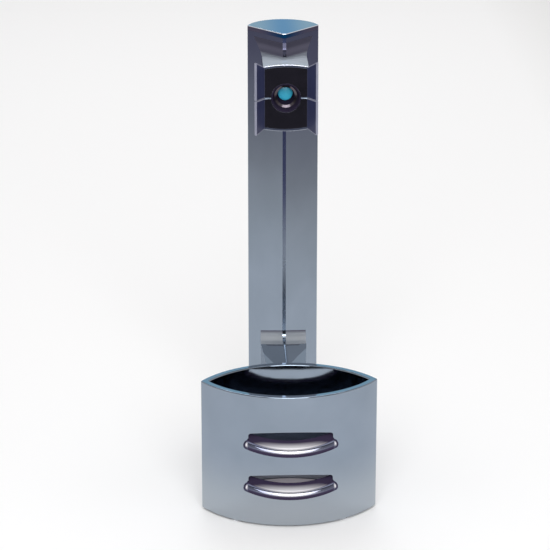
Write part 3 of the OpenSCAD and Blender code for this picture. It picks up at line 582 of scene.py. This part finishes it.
def slotCutter(top):
    half = slots["width"] / 2 * mm
    startY = cupLow.y - slots["cutAhead"] * mm
    cutter = archBlock(half, arcRadius(half, slots["arch"] * mm), top * mm, (top - slots["cutDrop"]) * mm,
                       startY, startY + slots["cutDepth"] * mm)
    zone = (top - slots["cornerZone"]) * mm
    corners = [e for e in cutter.edges if abs(e.verts[0].co.y - e.verts[1].co.y) > mm
               and all(abs(v.co.x) > half - hair and v.co.z > zone for v in e.verts)]
    roundEdges(cutter, corners, slots["cornerRound"], segments=5)
    place = lipPlace(top)
    below = place @ Vector((0, 0, -(slots["tongue"] / 2 + slots["gap"]) * mm))
    sliceOff(cutter, below, place.to_3x3() @ Vector((0, 0, -1)))
    return cutter


def onFront(point):
    out = Vector((point.x, point.y - cupY - cupOff)).length - cupRadius
    low, high = slots["edgeZone"]
    inside = abs(point.x) < slots["edgeHalf"] * cupHalf and low * mm < point.z < high * mm
    return inside and abs(out) < touch


bm = bmesh.new()
ledgeIn = cup["wall"] + cup["ledge"]
ledgeTop = cup["ledgeTop"] * mm
rings = [lensRing(bm, 0, cupLow.z), lensRing(bm, 0, cupHigh.z), lensRing(bm, cup["wall"], cupHigh.z),
         lensRing(bm, cup["wall"], ledgeTop), lensRing(bm, ledgeIn, ledgeTop),
         lensRing(bm, ledgeIn, cupLow.z)]
bridgeAll(bm, rings + rings[:1])
bmesh.ops.recalc_face_normals(bm, faces=bm.faces)
roundEdges(bm, uprights(bm, lambda p: abs(abs(p.x) - cupHalf) < touch), cup["pointRound"], segments=5)
roundEdges(bm, lensLine(bm, cupHigh.z, 0), cup["rimRound"], segments=5)
roundEdges(bm, lensLine(bm, cupHigh.z, cup["wall"]), cup["innerRound"], segments=4)
roundEdges(bm, lensLine(bm, cupLow.z, 0), cup["footRound"])
for top in slots["tops"]:
    bm = carve(bm, slotCutter(top))
for x in (-cup["screwX"], cup["screwX"]):
    for radius, end in ((cup["screwSeat"], cupHigh.y - cup["wall"] * mm),
                        (cup["screwBore"], cupHigh.y + cup["screwOut"] * mm)):
        bm = carve(bm, barAlongY(x * mm, cupY + cup["screwFrom"] * mm, end, cup["screwZ"] * mm, radius))
roundEdges(bm, sharpEdges(bm, onFront), slots["edgeRound"])
makePiece("cupShell", bm, cupChrome, "stand", "chrome", "cup_shell")
print("cup made")


# rolled slot lips, a pair says where painted shade, light and glints start and where they are full

lip = {"beadSteps": 12, "pathSteps": 64, "tongueSteps": 48, "innerRise": 0.3, "innerFrom": 0.3,
       "pale": (2.4, 0.8), "under": (0.50, 0.28), "ends": (0.1, 0.6), "glintRise": 30, "glint": (0.84, 0.94)}


def pathPoint(turn):
    return lipCentre + Vector((sin(turn), -cos(turn), 0)) * beadPath


def halfCircle(bm, middle, radius, axis, steps):
    before = set(bm.edges)
    start = bm.verts.new(middle - Vector((0, 0, radius)))
    spinWire(bm, start, middle, axis, pi, steps)
    return newEdges(bm, before)


def lipBead():
    bm = bmesh.new()
    radius, steps = slots["beadRadius"] * mm, lip["beadSteps"]
    start, end = pathPoint(-beadTurn), pathPoint(beadTurn)
    along = Vector((cos(beadTurn), -sin(beadTurn), 0))
    outside = halfCircle(bm, start, radius, -along, steps)
    inside = halfCircle(bm, start, radius, along, steps)
    spinEdges(bm, outside, start, -pi, steps)
    endOutside = spinEdges(bm, outside, lipCentre, 2 * beadTurn, lip["pathSteps"])
    spinEdges(bm, inside, lipCentre, 2 * beadTurn, lip["pathSteps"])
    spinEdges(bm, endOutside, end, pi, steps)
    bmesh.ops.remove_doubles(bm, verts=bm.verts, dist=2 * hair)
    slices = {}
    for v in bm.verts:
        turn = min(max(atan2(v.co.x, lipCentre.y - v.co.y), -beadTurn), beadTurn)
        slices.setdefault(round(turn, 4), []).append(v)  # one list for each cross-section
    lean = Matrix.Rotation(radians(slots["lean"]), 4, "X")
    for turn, ring in slices.items():
        axes = Matrix.Translation(pathPoint(turn)) @ Matrix.Rotation(turn, 4, "Z") @ lean
        bmesh.ops.scale(bm, vec=(1, slots["broad"], slots["thin"]), space=axes.inverted(), verts=ring)
    return bm


def lipTongue():
    bm = bmesh.new()
    innerRadius = cupRadius - cup["wall"] * mm
    backMiddle = (beadBack + cupOff - innerRadius) / cos(beadTilt)
    backSide = (beadBack + cupOff - sqrt(innerRadius ** 2 - tongueHalf ** 2)) / cos(beadTilt)
    tongueBack = arcRadius(tongueHalf, backSide - backMiddle)
    frontSide = lipCentre.y - sqrt(beadPath ** 2 - tongueHalf ** 2)
    loops = []
    for z in (-slots["tongue"] / 2 * mm, slots["tongue"] / 2 * mm):
        for y, centreY, radius in ((frontSide, lipCentre.y, beadPath),
                                   (backSide, backMiddle + tongueBack, tongueBack)):
            before = set(bm.edges)
            left = bm.verts.new((-tongueHalf, y, z))
            sweep = 2 * asin(tongueHalf / radius)
            spinWire(bm, left, (0, centreY, z), (0, 0, 1), sweep, lip["tongueSteps"])
            loops.append(newEdges(bm, before))
    for first, second in ((0, 1), (1, 3), (3, 2), (2, 0)):
        bmesh.ops.bridge_loops(bm, edges=loops[first] + loops[second])
    bmesh.ops.holes_fill(bm, edges=bm.edges)
    return bm


def slotLip(name, node, top):
    bm = carve(lipBead(), lipTongue(), "UNION")
    bm.normal_update()
    radius = slots["beadRadius"] * mm
    layers = bm.verts.layers.float
    dullPaintedShade, paintedLight, ends = layers.new("dullPaintedShade"), layers.new("paintedLight"), layers.new("ends")
    # Painted shade over the tongue's top and the bead's back inside the slot, with painted light on the
    # tongue towards the bead; the bead's ends are marked for painted shade.
    for v in bm.verts:
        behind = (v.co.y - lipCentre.y + sqrt(beadPath ** 2 - v.co.x ** 2)) / radius
        v[ends] = shareOf((abs(v.co.x) - tongueHalf) / radius, *lip["ends"])
        if v.normal.z > lip["innerRise"] and behind > lip["innerFrom"]:
            v[dullPaintedShade] = 1
            v[paintedLight] = shareOf(behind, *lip["pale"]) * (1 - (v.co.x / beadHalf) ** 2)
    bmesh.ops.transform(bm, matrix=lipPlace(top), verts=bm.verts)
    bm.normal_update()
    glint = Vector((0, -cos(radians(lip["glintRise"])), sin(radians(lip["glintRise"]))))
    # Painted shade under the bead, and painted glint dots where the bead's ends face the front light.
    for v in bm.verts:
        under = shareOf(v.normal.z, *lip["under"]) * (1 - v[ends])
        dot = v[ends] * shareOf(v.normal.dot(glint), *lip["glint"])
        v[ends] -= dot
        v[dullPaintedShade] = max(v[dullPaintedShade], under, dot)
        v[paintedLight] = max(min(v[paintedLight], 1 - under), dot)
    makePiece(name, bm, lipChrome, "stand", "chrome", node)


slotLip("upperLip", "upper_lip", slots["tops"][0])
slotLip("lowerLip", "lower_lip", slots["tops"][1])
print("lips made")


# hollow flares onto the column, and the arm

hollow = {"lead": 9, "arcSteps": 24, "heel": 1.0, "sink": 0.2, "lift": 0.03, "ahead": 12.0, "length": 60.0,
          "outerShade": (-1.5, 2.5)}


def flare(size, z, fall):
    bm = bmesh.new()
    radius, edge, half = size["flareRadius"] * mm, size["flareEdge"] * mm, size["width"] / 2 * mm
    splay, lead = radians(size["flareSplay"]), radians(hollow["lead"])
    roof = Vector((sin(fall), 0, cos(fall)))
    face = Vector((cos(veeAngle), -sin(veeAngle), 0))
    run = Vector((1, 1 / tan(veeAngle), -tan(fall))).normalized()  # the line where roof and column face meet
    out = run.cross(roof)
    opening = out.angle(face.cross(run))
    corner = Vector((0, ridgeY, z))
    middle = corner + out * (radius + edge) / tan(opening / 2) + roof * (radius + edge)
    spoke = Matrix.Rotation(lead, 3, run) @ (-roof * radius)
    start = bm.verts.new(middle + spoke)
    end = spinWire(bm, start, middle, run, pi - opening - 2 * lead, hollow["arcSteps"])
    slope = run.cross(spoke).normalized()
    foot = bm.verts.new(start.co - slope * (start.co - corner).dot(roof) / slope.dot(roof))
    slope = run.cross(end.co - middle).normalized()
    top = bm.verts.new(end.co - slope * (end.co - corner).dot(face) / slope.dot(face))
    down, inward = roof * hollow["heel"] * mm, face * hollow["sink"] * mm
    heel = bm.verts.new(corner - down - inward)
    toe = bm.verts.new(foot.co - down)
    back = bm.verts.new(top.co - inward)
    bmesh.ops.translate(bm, verts=bm.verts, vec=-run * hollow["ahead"] * mm)
    outline = (end, top, back, heel, toe, foot, start)
    growOutline(bm, zip(outline, outline[1:]), run * hollow["length"] * mm)
    flat = column["ridgeFlat"] * sin(veeAngle) * mm
    sliceOff(bm, (flat, ridgeY, z), (-1, 0, 0))
    sliceOff(bm, (half, ridgeY, z), (cos(splay), 0, -sin(splay)))
    sliceOff(bm, corner + face * hollow["lift"] * mm, -face)
    inner = [f for f in bm.faces if all(v.co.x < flat + hair for v in f.verts)]
    bmesh.ops.delete(bm, geom=inner, context="FACES_ONLY")
    bmesh.ops.mirror(bm, geom=everyPart(bm), axis="X", merge_dist=0)
    bare = [e for e in bm.edges if len(e.link_faces) == 1]
    paint(bmesh.ops.bridge_loops(bm, edges=bare)["faces"], 1)
    # Painted shade: each flare darkens towards its top where it meets the column, and a splayed flare also
    # towards its sides.
    shade = bm.verts.layers.float.new("shade")
    for v in bm.verts:
        rise = (v.co.z - z + abs(v.co.x) * tan(fall)) / radius
        outer = shareOf((abs(v.co.x) - half) / mm, *hollow["outerShade"]) if splay else 0
        v[shade] = max(shareOf(rise, *size["flareShade"]), outer)
    return bm


arm = {"top": 75.0, "fall": 22, "width": 27.0, "neckHalf": 10.3, "taperFrom": 6.0, "crestRound": 1.3,
       "edgeRound": 0.5, "flareRadius": 5.3, "flareEdge": 0.3, "flareSplay": 0, "flareShade": (0.72, 0.98),
       "roofHalf": 20.0, "roofRise": 40.0, "roofLength": 80.0, "roofFrom": 1.0,
       "roundDrop": 14.0, "roundOff": 1.5, "roundHalf": 4.0}
armTop = arm["top"] * mm
fall = radians(arm["fall"])


def onShoulder(point):
    off = arm["roundOff"] * mm
    return (point.z > armTop - arm["roundDrop"] * mm and cupHigh.y + off < point.y < ridgeY - off
            and abs(point.x) > arm["roundHalf"] * mm)


bm = copyOfNode("arm")
cutter = bmesh.new()
roofHalf, roofY = arm["roofHalf"] * mm, cupHigh.y + arm["roofFrom"] * mm
eaves = [Vector((x, roofY, armTop + skim - abs(x) * tan(fall))) for x in (-roofHalf, 0, roofHalf)]
above = Vector((0, 0, arm["roofRise"] * mm))
outline = [cutter.verts.new(each) for each in (*eaves, eaves[2] + above, eaves[0] + above)]
growOutline(cutter, zip(outline, outline[1:] + outline[:1]), (0, arm["roofLength"] * mm, 0))
bm = carve(bm, cutter)
for side in (-1, 1):
    narrow = Vector((side * arm["neckHalf"] * mm, cupHigh.y, armTop))
    broad = Vector((side * arm["width"] / 2 * mm, ridgeY + arm["taperFrom"] * mm, armTop))
    sliceOff(bm, narrow, (broad - narrow).cross(Vector((0, 0, side))))
crest = [e for e in bm.edges if all(abs(v.co.x) < touch and v.co.z > armTop - close for v in e.verts)]
roundEdges(bm, crest, arm["crestRound"], segments=5)
roundEdges(bm, sharpEdges(bm, onShoulder, over=35), arm["edgeRound"])
makePiece("cupArm", bm, chrome, "stand", "chrome", "arm", sharp=24)
makePiece("armFlare", flare(arm, armTop, fall), (satinChromePaintedLight, chrome), "stand", "chrome")
print("arm made")


# pump head

head = {"width": 25.6, "height": 38.6, "crown": 1.2, "crownSlack": 0.03, "rimRound": 1.1, "footRound": 0.8,
        "faceRound": 0.4, "faceHalf": 11.9, "faceTrim": 0.004, "splitRound": 0.42, "splitHalf": 1.0,
        "flareRadius": 6.48, "flareEdge": 0.32, "flareSplay": 28, "flareShade": (-0.02, 0.24),
        "archHalf": 15.0, "archFrom": 2.0, "archTo": 40.0, "archRise": 20.0, "roofNormal": 0.7}
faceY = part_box("fascia_lower")[0].y
bezelLow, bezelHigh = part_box("button_bezel")
splitZ = (bezelLow.z + bezelHigh.z) / 2
headHalf = head["height"] / 2 * mm
headTop = splitZ + headHalf


def onRim(point):
    return (point.y < faceY + touch
            and abs(point.z - splitZ) > headHalf - (head["crown"] + head["crownSlack"]) * mm)


def isRoof(face):
    return (face.normal.z > head["roofNormal"] and face.material_index == 0
            and face.calc_center_median().z > splitZ + headHalf / 2)


def onSplit(point):
    return abs(point.y - faceY) < touch and abs(point.z - splitZ) < close


def onFaceRim(point):
    return abs(point.y - faceY) < touch and (abs(point.z - splitZ) > head["splitHalf"] * mm
                                             or abs(point.x) > head["faceHalf"] * mm)


for name, node, rimRound in (("headUpper", "head_upper", head["rimRound"]),
                             ("headLower", "head_lower", head["footRound"])):
    bm = copyOfNode(node)
    sliceOff(bm, (0, faceY - head["faceTrim"] * mm, splitZ), (0, -1, 0))
    if node == "head_upper":
        crownRadius = arcRadius(head["width"] / 2 * mm, head["crown"] * mm)
        archTop = headTop + skim
        bm = carve(bm, archBlock(head["archHalf"] * mm, crownRadius, archTop, archTop + head["archRise"] * mm,
                                 faceY + head["archFrom"] * mm, ridgeY + head["archTo"] * mm))
    # The rims take the painted-highlight chrome (index 1).
    paint(roundEdges(bm, sharpEdges(bm, onRim, over=30), rimRound, segments=5), 1)
    bm.normal_update()
    # The roof takes the satin chrome, whose lighter colour is painted light.
    paint([f for f in bm.faces if isRoof(f)], 2)
    makePiece(name, bm, (chrome, edgeHighlightChrome, satinChromePaintedLight), "stand", "chrome", node, sharp=25)

wing = {"lean": 35, "length": 8.5, "thick": 1.5, "rootX": 12.0, "bury": 1.5, "rootHalf": 18.0,
        "tipHalf": 21.2, "up": 1.1, "seam": 0.06, "edgeRound": 0.5}


def wingPlate(name, side, up):
    lean = radians(wing["lean"])
    along = Vector((side * sin(lean), -cos(lean), 0)) * mm
    out = Vector((side * cos(lean), sin(lean), 0))
    near, root, tip = up * wing["seam"], up * wing["rootHalf"], wing["up"] + up * wing["tipHalf"]
    start = Vector((side * wing["rootX"] * mm, faceY, splitZ))
    bury, length = wing["bury"], wing["length"]
    outline = ((-bury, near), (length, near), (length, tip), (0, root), (-bury, root))
    bm = bmesh.new()
    corners = [bm.verts.new(start + along * s + Vector((0, 0, z * mm))) for s, z in outline]
    growOutline(bm, zip(corners, corners[1:] + corners[:1]), out * wing["thick"] * mm)
    bmesh.ops.recalc_face_normals(bm, faces=bm.faces)
    roundEdges(bm, bm.edges[:], wing["edgeRound"])
    # Inner faces take the painted-shade navy (index 1), outer faces chrome, the rounded edges the
    # painted-highlight pale (index 2).
    for f in bm.faces:
        facing = f.normal.dot(out)
        f.material_index = 1 if facing < -squarely else 0 if facing > squarely else 2
    makePiece(name, bm, (chrome, wingInnerShade, wingEdgeHighlight), "stand", "chrome", sharp=25)


for side, sideName in ((-1, "Left"), (1, "Right")):
    for up, upName in ((1, "Upper"), (-1, "Lower")):
        wingPlate("wing" + upName + sideName, side, up)
bm = flare(head, headTop - head["crown"] * mm, 0)
makePiece("headFlare", bm, (satinChromePaintedLight, flareRidgeShade), "stand", "chrome")
for name, node in (("faceUpper", "fascia_upper"), ("faceLower", "fascia_lower")):
    bm = copyOfNode(node)
    paint(roundEdges(bm, sharpEdges(bm, onSplit), head["splitRound"]), 1)
    # The face's outer rim takes the painted-highlight grey (index 2).
    paint(roundEdges(bm, sharpEdges(bm, onFaceRim), head["faceRound"]), 2)
    makePiece(name, bm, (blackGloss, chrome, faceRimHighlight), "stand", "black_gloss", node, sharp=25)
print("head made")


# dish, button and return spring

bezel = {"mouth": 7.6, "rim": 8.4, "depth": 2.2, "neck": 5.6, "neckLength": 4.7, "bore": 4.26, "guide": 3.5,
         "rimRound": 0.3, "ringOuter": 6.5, "ringInner": 5.2, "ringStart": 3.95, "ringEnd": 4.65,
         "sides": 72}
bezelLength = (bezelHigh.y - bezelLow.y) / mm
bm = bmesh.new()
turned(bm, [(bezel["bore"], bezelLength), (bezel["neck"], bezelLength),
            (bezel["neck"], bezelLength - bezel["neckLength"]), (bezel["rim"], bezel["depth"]),
            (bezel["rim"], 0), (bezel["mouth"], 0), (bezel["ringOuter"], bezel["ringStart"]),
            (bezel["ringInner"], bezel["ringEnd"]), (bezel["bore"], bezelLength - bezel["guide"]),
            (bezel["bore"], bezelLength)], (0, bezelLow.y, splitZ), bezel["sides"])
roundEdges(bm, sharpEdges(bm, lambda p: p.y < bezelLow.y + hair, over=17), bezel["rimRound"])
ringMiddle = bezelLow.y + (bezel["ringStart"] + bezel["ringEnd"]) / 2 * mm
paint([f for f in bm.faces if abs(f.calc_center_median().y - ringMiddle) < close], 1)
makePiece("buttonDish", bm, (dishBlack, ringChrome), "stand", "black_gloss", "button_bezel")

button = {"radius": 4.2, "dome": 0.5, "domeSteps": 8, "edge": 0.45, "socket": 2.03, "socketDepth": 2.5,
          "sides": 48, "sideNormal": 0.3}
buttonLow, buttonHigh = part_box("push_button")
buttonLength = (buttonHigh.y - buttonLow.y) / mm
socketEnd = buttonLength - button["socketDepth"]
domeHalf = button["radius"] - button["edge"]
domeRadius = arcRadius(domeHalf, button["dome"])
domeReach = [domeHalf * i / button["domeSteps"] for i in range(button["domeSteps"] + 1)]
dome = [(reach, domeRadius - sqrt(domeRadius ** 2 - reach ** 2)) for reach in domeReach]
bm = bmesh.new()
turned(bm, dome + [(button["radius"], button["dome"] + button["edge"]), (button["radius"], buttonLength),
                   (button["socket"], buttonLength), (button["socket"], socketEnd), (0, socketEnd)],
       (0, buttonLow.y, splitZ), button["sides"])
# Painted shade: the button's sides, down in the bore, take the dish's black.
paint([f for f in bm.faces if abs(f.normal.y) < button["sideNormal"]], 1)
makePiece("pushButton", bm, (buttonBlue, dishBlack), "button", "blue_button", "push_button")
print("button made")

spring = {"turns": 7, "wire": 0.42, "wireSides": 14, "turnSteps": 32}
springLow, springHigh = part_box("return_spring")
wire = spring["wire"] * mm
steps = spring["turns"] * spring["turnSteps"]
climb = (springHigh.y - springLow.y - 2 * wire) / steps
bm = bmesh.new()
bmesh.ops.create_circle(bm, segments=spring["wireSides"], radius=wire,
                        matrix=Matrix.Translation((springHigh.x - wire, springLow.y + wire, splitZ)))
bmesh.ops.spin(bm, geom=bm.verts[:] + bm.edges[:], cent=(0, 0, splitZ), axis=(0, 1, 0), dvec=(0, climb, 0),
               angle=2 * pi * spring["turns"], steps=steps)
bmesh.ops.holes_fill(bm, edges=bm.edges)
springEnds = ((0, springHigh.y, splitZ), (0, springLow.y, splitZ))  # it shortens with the button
makePiece("returnSpring", bm, steel, ("stand", "button", *springEnds), "steel", "return_spring")
print("spring made")


# carried-over nodes take their finish

finishes = {"rubber": blackRubber, "mat_grey": paleMat, "steel": steel, "floor_plate": darkPlastic,
            "natural_plastic": milkPlastic, "nozzle_black": nozzlePlastic, "chrome": chrome,
            "black_gloss": blackGloss, "blue_button": buttonBlue}
for sub in frame["record"]["subparts"]:
    mesh = frame["nodes"][sub["node"]].data
    mesh.materials.clear()
    mesh.materials.append(footRubber if sub["node"] == "cup_feet" else finishes[sub["material_slot"]])
print("finishes set")


# floor, light and camera

# The floor colour holds a painted fall-off of light, for the chrome to reflect.
studio = {"half": 6, "paper": (0.93, 0.93, 0.93), "roughness": 0.9, "reach": 1.2, "shift": 0.04,
          "edgeStart": 0.28, "edgeEnd": 0.52, "frontShadeTone": (0.10, 0.10, 0.14),
          "tones": ((0.25, (0.95, 0.95, 0.95)), (0.34, (0.83, 0.83, 0.82)), (0.42, (0.76, 0.745, 0.735)),
                    (0.5, (0.56, 0.54, 0.54)), (0.83, (0.25, 0.215, 0.30)), (1.0, (0.19, 0.165, 0.24)))}


def makeFloor():
    bm = bmesh.new()
    bmesh.ops.create_grid(bm, x_segments=1, y_segments=1, size=studio["half"])
    mesh = bpy.data.meshes.new("floor")
    bm.to_mesh(mesh)
    bm.free()
    mat, shader = newFinish("floorPaintedFalloff", studio["paper"], 0, studio["roughness"])
    tree = mat.node_tree
    parts = placeParts(tree, "Object")
    flat = addNode(tree, "ShaderNodeCombineXYZ")
    feed(tree, mathOf(tree, "ADD", parts["X"], studio["shift"]), flat.inputs["X"])
    feed(tree, mathOf(tree, "MINIMUM", parts["Y"], 0), flat.inputs["Y"])
    away = addNode(tree, "ShaderNodeVectorMath", operation="LENGTH")
    feed(tree, flat.outputs["Vector"], away.inputs[0])
    # Painted light and shade: the floor is pale near the stand and darkens with distance to the sides and
    # front, and darker still from 0.28 m to 0.52 m in front.
    share = mathOf(tree, "DIVIDE", away.outputs["Value"], studio["reach"])
    edge = spanOf(tree, parts["Y"], -studio["edgeStart"], -studio["edgeEnd"])
    tone = mixOf(tree, edge, rampOf(tree, share, studio["tones"]), studio["frontShadeTone"])
    feed(tree, tone, shader.inputs["Base Color"])
    mesh.materials.append(mat)
    floor = bpy.data.objects.new("floor", mesh)
    scene.collection.objects.link(floor)


makeFloor()

sky = {"ahead": ((0.0, (0.04, 0.04, 0.05)), (0.28, (0.06, 0.06, 0.07)), (0.38, (0.55, 0.55, 0.55)),
                 (0.7, (0.40, 0.40, 0.41)), (0.85, (0.16, 0.16, 0.17))),
       "aside": ((0.0, (0.10, 0.10, 0.12)), (0.10, (0.50, 0.49, 0.48)), (0.2, (1.05, 1.0, 0.96)),
                 (0.6, (0.8, 0.77, 0.75)), (0.85, (0.16, 0.16, 0.17))),
       "beyond": ((0.0, (0.20, 0.22, 0.26)), (0.2, (0.50, 0.56, 0.62)), (0.6, (0.45, 0.47, 0.50)),
                  (0.85, (0.16, 0.16, 0.17))),
       "behind": ((0.0, (0.20, 0.36, 0.50)), (0.22, (0.44, 0.70, 0.84)), (0.36, (0.44, 0.70, 0.84)),
                  (0.6, (0.45, 0.48, 0.52)), (0.85, (0.16, 0.16, 0.17)))}
bands = {"aside": (-0.75, -0.4), "beyond": (0.70, 0.86), "behind": (0.78, 0.93), "middle": (0.22, 0.12)}
world = bpy.data.worlds.new("studioSky")
scene.world = world
world.use_nodes = True
tree = world.node_tree
way = placeParts(tree, "Generated")
tones = {name: rampOf(tree, way["Z"], stops) for name, stops in sky.items()}
turns = {name: spanOf(tree, way["Y"], *bands[name]) for name in ("aside", "beyond", "behind")}
middle = spanOf(tree, mathOf(tree, "ABSOLUTE", way["X"]), *bands["middle"])
tone = mixOf(tree, turns["aside"], tones["ahead"], tones["aside"])
tone = mixOf(tree, turns["beyond"], tone, tones["beyond"])
tone = mixOf(tree, mathOf(tree, "MULTIPLY", turns["behind"], middle), tone, tones["behind"])
feed(tree, tone, tree.nodes["Background"].inputs["Color"])

lamps = {"boxFront": {"place": (0, -1.46, 1.03), "aim": (0, 0, 0.15), "size": (1.2, 1.36), "power": 19.6},
         "boxGlint": {"place": (0, -1.15, 1.10), "aim": (0, 0, 0.15), "size": (0.30, 0.10), "power": 1.2},
         "boxOver": {"place": (0, -0.05, 1.6), "aim": (0, -0.05, 0), "size": (1.2, 1.2), "power": 4.9},
         "boxBack": {"place": (0, 1.2, 1.5), "aim": (0, 1.2, 0), "size": (1.0, 0.6), "power": 8.6}}


def lookFrom(place, aim):
    return (Vector(aim) - Vector(place)).to_track_quat("-Z", "Y")


for name, box in lamps.items():
    lamp = bpy.data.lights.new(name, "AREA")
    lamp.shape = "RECTANGLE"
    lamp.size, lamp.size_y = box["size"]
    lamp.energy = box["power"]
    obj = bpy.data.objects.new(name, lamp)
    scene.collection.objects.link(obj)
    obj.location = box["place"]
    obj.rotation_euler = lookFrom(box["place"], box["aim"]).to_euler()

shot = {"imagePixels": 550, "focalPixels": 2400, "sensor": 36, "clip": (0.05, 30),
        "place": (-0.051956, -1.298876, 0.575137), "aim": (-0.006611, -0.000375, 0.127255)}
lens = bpy.data.cameras.new("camera")
lens.sensor_width = shot["sensor"]
lens.lens = shot["sensor"] * shot["focalPixels"] / shot["imagePixels"]
lens.clip_start, lens.clip_end = shot["clip"]
camera = bpy.data.objects.new("camera", lens)
scene.collection.objects.link(camera)
camera.location = shot["place"]
camera.rotation_mode = "QUATERNION"
camera.rotation_quaternion = lookFrom(shot["place"], shot["aim"])
scene.camera = camera
print("studio made")
